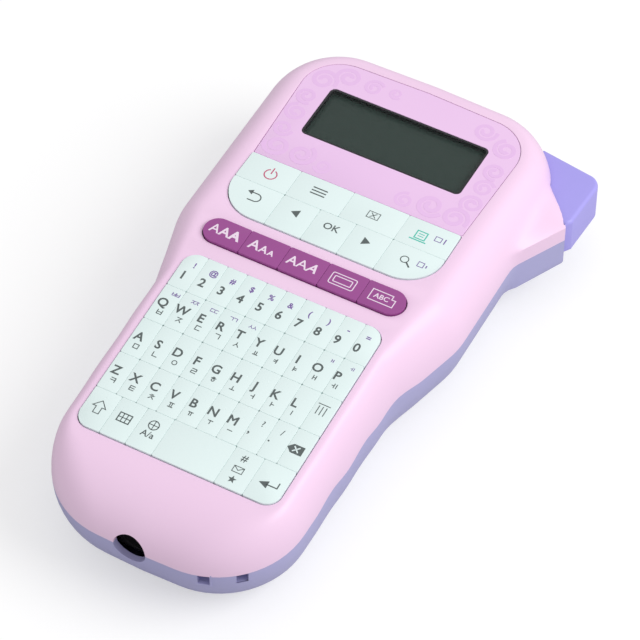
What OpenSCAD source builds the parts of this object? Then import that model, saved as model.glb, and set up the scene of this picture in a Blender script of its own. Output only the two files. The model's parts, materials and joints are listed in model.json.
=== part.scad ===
// Handheld label maker: pink front case, lavender back case, keyboard, tape mechanism.
// The origin is on the resting face, under the centreline. +Y runs towards the screen end.

/* [Case] */
// Half width of the head at the seam
head_half_w = 52; // [50:0.5:54]
// Half width of the grip at the seam
grip_half_w = 43.4; // [42:0.2:44.4]
// Where the head ends, from the origin
top_y = 107.7; // [106:0.1:110]
// Where the grip ends, from the origin
bottom_y = -99.3; // [-101:0.1:-98.5]
// Height of the flat band that carries the format keys
ridge_z = 44.8; // [44:0.1:46]
// Height of the seam between front and back case
seam_z = 24.6; // [24:0.1:25]
// Height of the edge of the back cover
cover_z = 12.5; // [12:0.1:13]
// Wall thickness
wall = 2; // [1.8:0.1:2.2]

/* [Keys] */
// How far the white keys stand above the case
key_proud = 0.5; // [0.3:0.1:0.8]
// How far the format keys stand above the case
bar_proud = 1; // [0.6:0.1:1.2]
// Gap between neighbouring keys
key_gap = 0.3; // [0.25:0.05:0.4]

/* [Mechanism] */
// Gear module
gear_m = 0.6; // [0.6]
// Radius of the platen roller
platen_r = 3.9; // [3.8:0.05:3.9]
// Where the tape runs, from the centreline
tape_x = 32; // [32]

/* [Hidden] */
$fn = 48;
eps = 0.01;

pink = [0.97, 0.85, 0.95];
lavender = [0.73, 0.72, 0.88];
violet = [0.70, 0.68, 0.94];
mint_white = [0.91, 0.97, 0.96];
mauve = [0.65, 0.42, 0.6];
steel = [0.75, 0.76, 0.78];
board_green = [0.2, 0.45, 0.3];
rubber_grey = [0.35, 0.35, 0.37];

// ---- the face: a flat ridge with the keyboard sloping one way and the screen the other ----
ridge_lo = 4;
ridge_hi = 17;
keyboard_rise = 0.051;
screen_fall = 0.034;
keyboard_tilt = atan(keyboard_rise);
screen_tilt = -atan(screen_fall);
bar_y = 10.25;

function face_z(y) = y < ridge_lo ? ridge_z + keyboard_rise * (y - ridge_lo)
    : y > ridge_hi ? ridge_z - screen_fall * (y - ridge_hi) : ridge_z;

module on_keyboard() { translate([0, ridge_lo, ridge_z]) rotate([keyboard_tilt, 0, 0]) translate([0, -ridge_lo, 0]) children(); }
module on_screen() { translate([0, ridge_hi, ridge_z]) rotate([screen_tilt, 0, 0]) translate([0, -ridge_hi, 0]) children(); }
module on_bar() { translate([0, 0, ridge_z]) children(); }

// A solid between two heights over a flat outline
module slab(lo, hi) { translate([0, 0, lo]) linear_extrude(hi - lo) children(); }
module block(lo, hi) { translate(lo) cube(hi - lo); }

// ---- outlines: corners [x, y, radius] joined by straights, mirrored about the centreline ----
arc_steps = 6;
straight_steps = 4;

function unit(v) = v / norm(v);
function xy(v) = [v.x, v.y];
function arc_at(o, p, q, r) = let (a = atan2(p.y - o.y, p.x - o.x), b = atan2(q.y - o.y, q.x - o.x) - a,
    sweep = b > 180 ? b - 360 : b < -180 ? b + 360 : b)
    [for (i = [0 : arc_steps]) o + r * [cos(a + sweep * i / arc_steps), sin(a + sweep * i / arc_steps)]];
function corner(a, b, c) = let (u = unit(xy(a) - xy(b)), w = unit(xy(c) - xy(b)), half = acos(u * w) / 2,
    o = xy(b) + unit(u + w) * b.z / sin(half), t = b.z / tan(half))
    arc_at(o, xy(b) + u * t, xy(b) + w * t, b.z);
function straight(p, q) = [for (i = [1 : straight_steps - 1]) p + (q - p) * i / straight_steps];
function half_outline(v) = let (arcs = [for (i = [1 : len(v) - 2]) corner(v[i - 1], v[i], v[i + 1])],
    n = len(arcs), last = arcs[n - 1])
    concat([xy(v[0])],
        [for (i = [0 : n - 1]) each concat(
            straight(i == 0 ? xy(v[0]) : arcs[i - 1][arc_steps], arcs[i][0]), arcs[i])],
        straight(last[arc_steps], xy(v[len(v) - 1])), [xy(v[len(v) - 1])]);
// The whole loop, down the right side and up the left
function loop(half) = concat(half, [for (i = [len(half) - 2 : -1 : 1]) [-half[i].x, half[i].y]]);
function rounded(w, h, r, n = 4) = [for (c = [[1, 1, 0], [-1, 1, 90], [-1, -1, 180], [1, -1, 270]], i = [0 : n])
    [c.x * (w / 2 - r) + r * cos(c.z + 90 * i / n), c.y * (h / 2 - r) + r * sin(c.z + 90 * i / n)]];

// Seam and face outlines, drawn in by `t` for the inner skin, their ends slightly bowed
end_bow = 1.2;
function seam_half(t) = half_outline([[0, top_y - t], [head_half_w - t, top_y - end_bow - t, 27 - t],
    [head_half_w - t, 18, 30], [grip_half_w - t, -13, 34 + t],
    [grip_half_w - 0.9 - t, bottom_y + end_bow + t, 30 - t], [0, bottom_y + t]]);
function face_half(t) = half_outline([[0, 99.4 - t], [41 - t, 98.4 - t, 16 - t], [40.2 - t, 16, 20],
    [37 - t, -6, 24 + t], [36.6 - t, -77.8 + end_bow / 2 + t, 7 - t * 0.5], [0, -77.8 + t]]);

// Finger scallops: the seam rises three times along each side of the grip
scallop_pitch = 21.5;
scallop_end = 2.5;
scallop_rise = 1.7;
function scallop(y) = let (u = (scallop_end - y) / scallop_pitch)
    u > 0 && u < 3 ? scallop_rise * pow(sin(180 * u), 2) : 0;
function seam_at(y) = seam_z + scallop(y);

// A closed skin from rings of points: quads between rings, and strips across both end rings
function skin_faces(rings, n) = concat(
    [for (k = [0 : rings - 2], i = [0 : n - 1]) let (a = k * n + i, b = k * n + (i + 1) % n) each
        [[a, b, b + n], [a, b + n, a + n]]],
    [for (i = [0 : n / 2 - 1]) let (l = (n - i) % n, m = n - i - 1) each i == 0 ? [[0, m, 1]]
        : i == n / 2 - 1 ? [[i, l, i + 1]] : [[i, l, m], [i, m, i + 1]]],
    let (z = (rings - 1) * n) [for (i = [0 : n / 2 - 1]) let (l = (n - i) % n, m = n - i - 1) each
        i == 0 ? [[z, z + 1, z + m]]
        : i == n / 2 - 1 ? [[z + i, z + i + 1, z + l]] : [[z + i, z + m, z + l], [z + i, z + i + 1, z + m]]]);

upper_levels = [0, 14, 28, 42, 55, 67, 78, 90];
lower_levels = [0, 15, 30, 45, 58, 70, 80, 90];
base_scale = 0.74;
grip_scale = 0.866;
post_rib = 0.8;
base_centre = [0, 50];

// Upper body: each level blends the seam outline into the face outline along an ellipse
module upper_solid(t, foot = 0) {
    s = loop(seam_half(t));
    f = loop(face_half(t));
    n = len(s);
    rings = [for (a = upper_levels) [for (i = [0 : n - 1]) let (p = f[i] + (s[i] - f[i]) * cos(a), z0 = seam_at(s[i].y))
        [p.x, p.y, z0 + (face_z(f[i].y) - t - z0) * sin(a)]]];
    all = foot > 0 ? concat([[for (p = rings[0]) p - [0, 0, foot]]], rings) : rings;
    polyhedron([for (r = all) each r], skin_faces(len(all), n));
}

// Lower body: each level is the seam outline shrunk towards the belly
module lower_solid(t, rim = 0) {
    s = loop(seam_half(t));
    n = len(s);
    rings = [for (a = [for (i = [len(lower_levels) - 1 : -1 : 0]) lower_levels[i]])
        let (k = 1 - (1 - base_scale) * (1 - cos(a)), grip_k = 1 - (1 - grip_scale) * (1 - cos(a)))
        [for (p = s) let (y_k = p.y < base_centre.y ? grip_k : k)
            [p.x * k, base_centre.y + (p.y - base_centre.y) * y_k, t + (seam_at(p.y) - t) * (1 - sin(a))]]];
    all = rim > 0 ? concat(rings, [[for (p = rings[len(rings) - 1]) p + [0, 0, rim]]]) : rings;
    polyhedron([for (r = all) each r], skin_faces(len(all), n));
}

// ---- shoulder beside the lever, in plan and height ----
shoulder_low = [[50, 54.5], [53, 58.8], [62, 75.4], [49, 89.6], [46, 86]];
shoulder_high = [[48.6, 60], [51.4, 64], [60.6, 75.4], [48.6, 88.8], [46, 86]];
lever_lo = 16;
lever_hi = 30.7;
lever_gap = 0.35;
spring_pocket_z = 12.9;
pivot = [53.5, 77];

// Everything the lever sweeps, cut out of both cases
module lever_room() {
    slab(lever_lo - lever_gap, lever_hi + lever_gap)
        polygon([[47.6, 74], [57, 73.4], [61.2, 76.4], [72, 76.4], [72, 112], [36.6, 112], [36.6, 96], [36.4, 91],
            [40.6, 86.5]]);
}

screw_spots = [[-29, -81], [29, -81], [-42, 6], [42, 6], [-42, 89.5], [10, 98.5]];
jack_x = -2;
jack_mouth_r = 5.7;
// Strap slots: [x, y, turn]
strap_slots = [[22.6, -96, 16], [33.3, -91, 44]];

// ---- windows in the face ----
keyboard_w = 71;
keyboard_top = -1;
keyboard_h = 74.1;
key_pitch = keyboard_w / 10;
row_pitch = keyboard_h / 5;
bar_w = 72.4;
bar_h = 10.1;
window_gap = 0.35;

module keyboard_outline(g = 0) {
    translate([0, keyboard_top - keyboard_h / 2]) polygon(rounded(keyboard_w + 2 * g, keyboard_h + 2 * g, 5 + g, 6));
}
module bar_outline(g = 0) { translate([0, bar_y]) polygon(rounded(bar_w + 2 * g, bar_h + 2 * g, bar_h / 2 + g - eps, 8)); }
panel_top = 46;
panel_bottom = 20;
module upper_key_outline(g = 0) {
    polygon(loop(half_outline([[0, panel_top + g], [38.2 + g, panel_top + g, 0.6], [38.4 + g, panel_bottom - g, 13 + g],
        [0, panel_bottom - g]])));
}
module display_outline(g = 0) {
    polygon(loop(half_outline([[0, 97.9 + g], [40.2 + g, 96.6 + g, 14 + g], [38.2 + g, 46.6 - g, 0.6], [0, 46.6 - g]])));
}
lcd_mid = 73.3;
lcd_w = 58.8;
lcd_h = 23.3;

module front_case() {
    color(pink) difference() {
        union() {
            upper_solid(0);
            hull() {
                slab(seam_z, lever_hi - 0.5) polygon(shoulder_low);
                slab(lever_hi, lever_hi + 0.5) polygon(shoulder_high);
                slab(lever_hi + 2, lever_hi + 3.6) polygon([[46, 58], [48.6, 64], [48.6, 84], [46, 88]]);
            }
        }
        difference() {
            upper_solid(wall, 1);
            for (p = screw_spots) translate([p.x, p.y, seam_z]) cylinder(r = 2.8, h = 30);
        }
        for (p = screw_spots) translate([p.x, p.y, seam_z - 1]) cylinder(r = 1.25, h = 9.5);
        on_keyboard() slab(-6, 4) keyboard_outline(window_gap);
        on_bar() slab(-6, 4) bar_outline(window_gap);
        on_screen() slab(-6, 4) upper_key_outline(window_gap);
        on_screen() slab(-1, 4) display_outline(0.2);
        on_screen() slab(-6, 4) translate([0, lcd_mid]) square([lcd_w + 2, lcd_h + 2], center = true);
        lever_room();
        translate([pivot.x, pivot.y, lever_hi]) cylinder(r = 1.28, h = 1.1);
        translate([jack_x, bottom_y - 2, seam_z]) rotate([-90, 0, 0]) cylinder(r = jack_mouth_r, h = 8);
    }
}

// ---- back case: seam band, mechanism shelf, battery shelf, screw posts ----
shelf_z = 20;
battery_shelf_z = 14;
rib_lo = -63.6;
rib_hi = -9.6;
rib_half_w = 29;
rib_z = 4;
nose_y = 86.2;
module back_case() {
    color(lavender) difference() {
        union() {
            lower_solid(0);
            hull() {
                slab(seam_z - 12, seam_z - 0.1) polygon(shoulder_low);
                slab(seam_z - 14, seam_z - 3) polygon([[50, 58], [52, 62], [60, 75.4], [50, 86], [46, 84]]);
            }
        }
        difference() {
            lower_solid(wall, 1);
            block([-60, 31, shelf_z], [60, 96, shelf_z + 1.6]);
            block([-60, -64, battery_shelf_z], [60, -7, battery_shelf_z + 1.6]);
            for (y = [rib_lo, rib_hi]) block([-rib_half_w, y, rib_z], [rib_half_w, y + 1.4, battery_shelf_z + 1]);
            block([-60, 29.4, cover_z + 0.2], [60, 31, shelf_z + 1.6]);
            for (p = screw_spots) translate([p.x, p.y, cover_z]) cylinder(r = 3.4, h = 13);
            for (i = [0, 1]) translate([screw_spots[i].x - post_rib, -110, cover_z])
                cube([2 * post_rib, 110 + screw_spots[i].y, 13]);
        }
        block([-70, -110, -1], [70, nose_y, 3]);
        difference() {
            block([-70, -110, -1], [70, nose_y, cover_z + 0.15]);
            block([-rib_half_w, rib_lo, rib_z], [rib_half_w, rib_hi + 1.4, cover_z + 1]);
        }
        for (p = screw_spots) translate([p.x, p.y, 0]) {
            cylinder(r = 1.5, h = 30);
            cylinder(r = 2.7, h = 16.5);
        }
        lever_room();
        block([34, 90.5, 6], [41.5, 97, lever_lo]);
        block([27.6, 50, 18], [46.5, 74, 30]);
        translate([41, 44, 18]) cylinder(r = 3.6, h = 8);
        for (c = [idler_at, wheel_at, spindle_at]) translate([c.x, c.y, 18]) cylinder(r = 3.2, h = 8);
        block([tape_x - 2.3, outlet_y - 0.1, 4.7], [tape_x + 2.3, 112, 19.5]);
        translate([pivot.x, pivot.y, seam_z - 11]) cylinder(r = 1.28, h = 14);
        translate([pivot.x, pivot.y, spring_pocket_z]) cylinder(r = 3.3, h = lever_lo - spring_pocket_z);
        translate([jack_x, bottom_y - 2, seam_z]) rotate([-90, 0, 0]) cylinder(r = jack_mouth_r, h = 8);
        for (s = strap_slots) translate([s.x, s.y, seam_z - 2.2]) rotate([0, 0, s.z]) cube([3.8, 9, 4.4], center = true);
    }
}

module back_cover() {
    color(lavender) difference() {
        lower_solid(0);
        lower_solid(wall, 1);
        block([-70, -110, cover_z], [70, 120, 60]);
        block([-70, nose_y - 0.2, -1], [70, 120, 60]);
    }
}

module display_panel() {
    color([0.96, 0.83, 0.95]) on_screen() difference() {
        slab(-0.95, -0.1) display_outline(0);
        slab(-2, 1) translate([0, lcd_mid]) polygon(rounded(lcd_w, lcd_h, 2));
    }
}
module lcd_window() {
    color([0.25, 0.3, 0.28, 0.6]) on_screen() slab(-0.95, -0.25)
        translate([0, lcd_mid]) polygon(rounded(lcd_w - 0.1, lcd_h - 0.1, 1.95));
}
module lcd_module() {
    color([0.3, 0.36, 0.33]) on_screen() {
        slab(-4.6, -3.4) translate([0, lcd_mid]) square([66, 32], center = true);
        slab(-3.4, -2.15) translate([0, lcd_mid]) square([62, 27], center = true);
    }
}

// ---- boards and silicone mats ----
dome_top = -3.45;
mat_top = -3.9;
mat_bottom = -4.6;
board_top = -4.7;
board_bottom = -6.2;
upper_stems = [[-28.6, 40], [-10.3, 40], [9.5, 40], [28.9, 40], [-28, 27.8], [-13.3, 27.2], [-0.2, 27.2], [12.9, 27.2],
    [28, 27.8]];
bar_keys = [for (i = [-2 : 2]) [i * 14.3, bar_y]];
row_y = [for (r = [0 : 4]) keyboard_top - (r + 0.5) * row_pitch];
column_x = [for (c = [0 : 9]) (c - 4.5) * key_pitch];
// Bottom row: left edge column, width in columns
bottom_row = [[0, 1.34], [1.34, 1.3], [2.64, 1.32], [3.96, 3.09], [7.05, 1.4], [8.45, 1.55]];
function bottom_x(k) = (k[0] + k[1] / 2 - 5) * key_pitch;

module display_board() {
    color(board_green) on_screen() difference() {
        slab(board_bottom, board_top) block2d([-36.5, 4.7], [36.5, 92]);
        slab(-9, 0) for (x = [-33.5, 33.5], y = [8, 88]) translate([x, y]) circle(r = 1.1);
    }
    color("black") on_screen() slab(board_bottom - 1.2, board_bottom) {
        translate([-12, 30]) square([12, 12], center = true);
        translate([14, 32]) square([8, 10], center = true);
    }
}
module block2d(lo, hi) { translate(lo) square(hi - lo); }
module upper_key_mat() {
    color(rubber_grey) on_screen() {
        slab(mat_bottom, mat_top) block2d([-36.5, 4.7], [36.5, 45.5]);
        for (p = concat(upper_stems, bar_keys)) translate([p.x, p.y, mat_top]) cylinder(r1 = 2.6, r2 = 1.8, h = dome_top - mat_top);
    }
}
module key_mat() {
    color(rubber_grey) on_keyboard() {
        slab(mat_bottom, mat_top) block2d([-35.8, -76.4], [35.8, -1]);
        for (r = [0 : 3], c = [0 : 9]) translate([column_x[c], row_y[r], mat_top]) cylinder(r1 = 2.6, r2 = 1.8, h = dome_top - mat_top);
        for (k = bottom_row) translate([bottom_x(k), row_y[4], mat_top]) cylinder(r1 = 2.6, r2 = 1.8, h = dome_top - mat_top);
    }
}
module main_board() {
    color(board_green) on_keyboard() difference() {
        slab(board_bottom, board_top) block2d([-35.8, -76.4], [35.8, -1]);
        slab(-9, 0) for (x = [-32, 32], y = [-72, -6]) translate([x, y]) circle(r = 1.1);
    }
    color("black") on_keyboard() slab(board_bottom - 1.4, board_bottom) {
        translate([0, -38]) square([16, 16], center = true);
        translate([-20, -20]) square([9, 14], center = true);
        translate([20, -50]) square([7, 10], center = true);
    }
}
// A flat flex that dips between the two boards
module flex_cable() {
    flex_t = 0.3;
    drop_r = 2.6;
    color([0.85, 0.6, 0.3]) translate([-9, 1.6, 37.1]) rotate([90, 0, 90]) linear_extrude(18) {
        translate([drop_r - flex_t, 0]) square([6.5, flex_t]);
        translate([-drop_r - 6.2, 0]) square([6.5, flex_t]);
        difference() {
            circle(r = drop_r);
            circle(r = drop_r - flex_t);
            translate([-5, flex_t]) square([10, 10]);
        }
    }
}

// ---- power: DC inlet at the grip end, six cells side by side ----
jack_front = -94.2;
jack_r = 5;
jack_mouth = 4;
module along_jack(y) { translate([jack_x, y, seam_z]) rotate([-90, 0, 0]) children(); }
module dc_jack() {
    color([0.12, 0.12, 0.13]) difference() {
        block([jack_x - 6.6, jack_front, 18.4], [jack_x + 6.6, -83, 31]);
        along_jack(jack_front - 1) cylinder(r = jack_r, h = jack_mouth + 1);
        along_jack(jack_front) cylinder(r = jack_r - 0.6, h = 9);
    }
    color(steel) along_jack(jack_front + jack_mouth + 0.6) cylinder(r = 0.8, h = 5);
}
cell_r = 5.25;
cell_z = wall + 0.95 + cell_r;
cell_pitch = 11;
cell_x = [for (i = [0 : 5]) (i - 2.5) * cell_pitch];
cell_lo = -58.6;
cell_len = 43.5;
function flip(i) = i % 2;
module along_cell(i) {
    translate([cell_x[i], cell_lo + cell_len / 2, cell_z]) rotate([flip(i) == 1 ? 90 : -90, 0, 0]) children();
}
module battery_cells() {
    color([0.25, 0.27, 0.3]) for (i = [0 : 5]) along_cell(i) {
        translate([0, 0, -cell_len / 2]) cylinder(r = cell_r, h = cell_len);
        translate([0, 0, cell_len / 2]) cylinder(r = 1.9, h = 1);
    }
}
bay_end = cell_len / 2 + 3.1;
module battery_plates() {
    color(steel) for (i = [0 : 5]) along_cell(i) {
        for (z = [-bay_end, bay_end - 0.4]) translate([-3.8, -3.8, z]) cube([7.6, 7.6, 0.4]);
        translate([0, 0, cell_len / 2 + 1.1]) cylinder(r1 = 1.6, r2 = 2.4, h = 1.6);
    }
}

// A coil of wire swept along a helix, closed at both ends
function coil_points(r0, r1, h, turns, wire, sides, rings) = [for (k = [0 : rings]) let (u = k / rings, a = 360 * turns * u,
    r = r0 + (r1 - r0) * u) for (j = [0 : sides - 1]) let (b = 360 * j / sides, d = r + wire * cos(b))
    [d * cos(a), d * sin(a), h * u + wire * sin(b)]];
function coil_faces(sides, rings) = concat([[for (j = [0 : sides - 1]) j]],
    [for (k = [0 : rings - 1], j = [0 : sides - 1]) let (a = k * sides + j, b = k * sides + (j + 1) % sides) each
        [[a, a + sides, b], [b, a + sides, b + sides]]],
    [[for (j = [sides - 1 : -1 : 0]) rings * sides + j]]);
module coil(r0, r1, h, turns, wire, per_turn = 9) {
    rings = round(turns * per_turn);
    polyhedron(coil_points(r0, r1, h, turns, wire, 5, rings), coil_faces(5, rings));
}
module battery_springs() {
    color(steel) for (i = [0 : 5]) along_cell(i) translate([0, 0, -bay_end + 0.75]) coil(3.4, 2, 1.95, 2, 0.3, 7);
}

// ---- mechanism: chassis, motor and gear train ----
chassis_z = 21.9;
chassis_t = 1;
gear_z = 23.5;
gear_t = 3;
wheel_z = 27.8;
wheel_t = 2.6;
platen_teeth = 20;
idler_teeth = 30;
pinion_teeth = 12;
wheel_teeth = 36;
spindle_teeth = 24;
platen_at = [36.2, 62];
idler_dir = 206;
wheel_dir = 160;
spindle_dir = 231;
function pitch_r(n) = gear_m * n / 2;
function towards(a) = [cos(a), sin(a)];
idler_at = platen_at + (pitch_r(platen_teeth) + pitch_r(idler_teeth)) * towards(idler_dir);
wheel_at = idler_at + (pitch_r(idler_teeth) + pitch_r(pinion_teeth)) * towards(wheel_dir);
spindle_at = idler_at + (pitch_r(idler_teeth) + pitch_r(spindle_teeth)) * towards(spindle_dir);
// The turn that puts gear b in mesh with gear a, whose first tooth stands at phase
function mesh(dir, phase, na, nb) = dir + 180 - (0.5 - (dir - phase) * na / 360) * 360 / nb;
platen_phase = idler_dir;
idler_phase = mesh(idler_dir, platen_phase, platen_teeth, idler_teeth);
pinion_phase = mesh(wheel_dir, idler_phase, idler_teeth, pinion_teeth);
spindle_phase = mesh(spindle_dir, idler_phase, idler_teeth, spindle_teeth);
worm_y = 14.15;

function tooth(n, i, r, part) = let (a = 360 * (i + part) / n) [r * cos(a), r * sin(a)];
function gear_points(n) = let (root = pitch_r(n) - 1.15 * gear_m, tip = pitch_r(n) + 0.9 * gear_m)
    [for (i = [0 : n - 1]) each [tooth(n, i, root, -0.27), tooth(n, i, tip, -0.09), tooth(n, i, tip, 0.09), tooth(n, i, root, 0.27)]];
module gear(n, t, phase, bore) {
    rotate([0, 0, phase]) linear_extrude(t) difference() {
        polygon(gear_points(n));
        circle(r = bore);
    }
}
post_r = 1.2;
post_bore = 1.25;
module at(p, z) { translate([p.x, p.y, z]) children(); }

module mech_chassis() {
    color(steel) difference() {
        union() {
            slab(chassis_z, chassis_z + chassis_t) polygon([[-38, 34], [43, 34], [43, 74], [30, 92], [-38, 92]]);
            block([-38, 90.8, chassis_z + chassis_t - eps], [-20, 92, 27]);
        }
        slab(chassis_z - 1, chassis_z + 3) {
            block2d([28.2, 56], [31.9, 68]);
            block2d([33.8, 59.4], [40.6, 64.6]);
            translate(spindle_at) circle(r = 2.6);
            for (p = [[-34, 38], [-34, 84], [20, 86]]) translate(p) circle(r = 1.3);
        }
        for (p = [idler_at, wheel_at, [41, 44]]) at(p, chassis_z - 1) cylinder(r = post_r - 0.1, h = 4);
    }
}
holder_pivot = [41, 44];
holder_lo = 5.4;
holder_hi = 19.5;
module gear_posts() {
    color(steel) {
        at(idler_at, chassis_z) cylinder(r = post_r - 0.1, h = chassis_t);
        at(idler_at, chassis_z + chassis_t) cylinder(r = post_r, h = 3.9);
        at(wheel_at, chassis_z) cylinder(r = post_r - 0.1, h = chassis_t);
        at(wheel_at, chassis_z + chassis_t) cylinder(r = post_r, h = 8.2);
        at(holder_pivot, holder_lo) cylinder(r = post_r, h = chassis_z - holder_lo);
        at(holder_pivot, chassis_z) cylinder(r = post_r - 0.1, h = chassis_t);
    }
}
module idler_gear() { color("ivory") at(idler_at, gear_z) gear(idler_teeth, gear_t, idler_phase, post_bore); }
module reduction_wheel() {
    color("ivory") {
        at(wheel_at, gear_z) gear(pinion_teeth, wheel_z - gear_z, pinion_phase, post_bore);
        at(wheel_at, wheel_z) gear(wheel_teeth, wheel_t, 0, post_bore);
    }
}
motor_z = wheel_z + wheel_t / 2;
motor_half_h = 6;
worm_at = [wheel_at.x, wheel_at.y + worm_y, motor_z];
motor_end = -7;
module motor() {
    color(steel) difference() {
        intersection() {
            translate([-32, worm_at.y, motor_z]) rotate([0, 90, 0]) cylinder(r = 7.6, h = 32 + motor_end);
            block([-40, worm_at.y - 8, motor_z - motor_half_h], [motor_end + 4, worm_at.y + 8, motor_z + motor_half_h]);
        }
        translate([motor_end - 12, worm_at.y, motor_z]) rotate([0, 90, 0]) cylinder(r = 1.05, h = 20);
    }
    color("white") translate([-34, worm_at.y, motor_z]) rotate([0, 90, 0]) cylinder(r = 4, h = 2);
}
module motor_worm() {
    turn = 1.9;
    color(steel) translate([motor_end - 10, worm_at.y, motor_z]) rotate([0, 90, 0]) cylinder(r = 1, h = 36);
    color("ivory") translate([worm_at.x - 6.65, worm_at.y, motor_z]) rotate([0, 90, 0]) rotate_extrude()
        polygon(concat([[0.9, 0]], [for (i = [0 : 6]) each [[2, i * turn], [2.6, i * turn + 0.6], [2.6, i * turn + 1],
            [2, i * turn + 1.6]]], [[2, 7 * turn], [0.9, 7 * turn]]));
}
module platen_roller() {
    color(steel) at(platen_at, holder_lo - 0.2) cylinder(r = 1, h = gear_z + gear_t - holder_lo + 0.2);
    color([0.15, 0.15, 0.16]) at(platen_at, 6.6) difference() {
        cylinder(r = platen_r, h = 11.6);
        translate([0, 0, -1]) cylinder(r = 1, h = 20);
    }
}
module platen_gear() { color("ivory") at(platen_at, gear_z) gear(platen_teeth, gear_t, platen_phase, 1); }
module ribbon_spindle() {
    color("ivory") at(spindle_at, gear_z) gear(spindle_teeth, gear_t, spindle_phase, 1);
    color("ivory") at(spindle_at, 6.4) difference() {
        cylinder(r = 2.2, h = gear_z + gear_t - 6.4);
        for (a = [0 : 60 : 300]) rotate([0, 0, a]) translate([2.2, 0, -1]) cylinder(r = 0.5, h = 12);
    }
}
module roller_holder() {
    color([0.2, 0.2, 0.22]) difference() {
        union() {
            for (z = [holder_lo, holder_hi - 1]) slab(z, z + 1) {
                polygon([[38.6, 42], [43.2, 42], [41.4, 68], [34, 66], [34, 59]]);
                translate(holder_pivot) circle(r = 2.6);
            }
            block([40.4, 52, holder_lo], [41.4, 68, holder_hi]);
            at(holder_pivot, holder_lo) cylinder(r = 2.6, h = holder_hi - holder_lo);
        }
        at(holder_pivot, 0) cylinder(r = post_bore, h = 30);
        at(platen_at, 0) cylinder(r = 1.05, h = 30);
    }
}
holder_spring_lo = 41.75;
module holder_spring() {
    color(steel) translate([holder_spring_lo, 66, 15.8]) rotate([0, 90, 0]) coil(1.6, 1.6, 5.6, 5, 0.25);
}
module print_head() {
    color([0.85, 0.83, 0.78]) block([30.9, 56.6, 5.2], [31.8, 67.4, 19.4]);
    color("silver") {
        block([28.6, 56.6, 5.2], [30.8, 67.4, gear_z - 0.3]);
        block([27.9, 56.6, 20.4], [28.6 + eps, 67.4, 21.6]);
    }
}

// ---- cutter: the lever swings about its pin and pushes the blade across the tape ----
module cutter_lever() {
    color(violet) difference() {
        union() {
            slab(lever_lo, lever_hi) polygon(concat([[50.6, 80], [51.5, 76.8], [61, 76.9]],
                [for (i = [0 : 3]) [57.9, 80] + 4.8 * [cos(-10 + 5 * i), sin(-10 + 5 * i)]],
                [for (i = [0 : 6]) [58.6, 95.6] + 5 * [cos(90 * i / 6), sin(90 * i / 6)]],
                [[40.6, 103.2], [39.2, 100], [39, 95.4], [41.6, 92.2]]));
            at(pivot, lever_lo) cylinder(r = 3, h = lever_hi - lever_lo);
            slab(8, lever_lo + 1) translate([39.2, 93.4]) circle(r = 1.5);
        }
        at(pivot, 0) cylinder(r = 1.25, h = 50);
    }
}
module lever_pin() { color(steel) at(pivot, 13.8) cylinder(r = 1.2, h = 17.6); }
module lever_spring() { color(steel) at(pivot, spring_pocket_z + 0.5) coil(2.2, 2.2, 1.8, 3, 0.25, 12); }
module cutter_blade() {
    color(steel) translate([0, 93.7, 0]) rotate([90, 0, 0]) linear_extrude(0.5)
        polygon([[33, 5.3], [33.9, 5.3], [36.6, 8], [36.6, 15.4], [34.6, 18.2], [33, 18.2]]);
    color([0.3, 0.3, 0.32]) difference() {
        block([34.6, 91.8, 8], [36.7, 95, 15]);
        block([30, 93.2, 4], [36.6, 93.7, 20]);
    }
}

// ---- tape cassette, tape and outlet ----
module cassette_plan(g = 0) {
    polygon([[-38.6 + g, 37.4 + g], [30.6 - g, 37.4 + g], [30.6 - g, 47.4 - g], [26 - g, 49.4 - g], [26 - g, 87 - g],
        [-34 + g, 87 - g], [-38.6 + g, 82 - g]]);
}
cassette_lo = 3.4;
cassette_hi = 19.4;
module cassette_shell() {
    color([0.2, 0.2, 0.22]) difference() {
        slab(cassette_lo, cassette_hi) cassette_plan();
        slab(cassette_lo + 1.2, cassette_hi - 1.2) cassette_plan(1.2);
        at(spindle_at, 5) cylinder(r = 2.8, h = 20);
        translate([-18, 62, 0]) cylinder(r = 4, h = 30);
        block([29, 44, cassette_lo + 1.6], [33, 46.4, cassette_hi - 1.6]);
    }
}
module tape_roll() {
    color("white") at([-15, 62], cassette_lo + 1.4) difference() {
        cylinder(r = 19.5, h = 13);
        translate([0, 0, -1]) cylinder(r = 9, h = 20);
    }
}
module label_tape() { color("white") block([tape_x - 0.1, 47.8, 5.8], [tape_x + 0.1, 93, 17.8]); }
outlet_y = 96;
module tape_outlet() {
    color([0.3, 0.3, 0.33]) difference() {
        intersection() {
            lower_solid(0.2, 1);
            block([tape_x - 2.2, outlet_y, 4.8], [tape_x + 2.2, 112, 19.4]);
        }
        block([tape_x - 0.8, 90, 5.3], [tape_x + 0.8, 120, 18.9]);
    }
    color([0.3, 0.3, 0.33]) difference() {
        block([tape_x - 3.2, 91, 6], [tape_x - 0.5, outlet_y - 0.2, 18.8]);
        block([tape_x - 1.9, 92.8, 4], [tape_x, 94.1, 20]);
    }
}
module case_screws() {
    color(steel) for (p = screw_spots) at(p, 0) {
        difference() {
            translate([0, 0, 14.8]) cylinder(r = 2.4, h = 1.7);
            translate([-0.3, -1.6, 14]) cube([0.6, 3.2, 1.6]);
            translate([-1.6, -0.3, 14]) cube([3.2, 0.6, 1.6]);
        }
        translate([0, 0, 16.4]) cylinder(r = 1.2, h = 15.4);
    }
}

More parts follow.
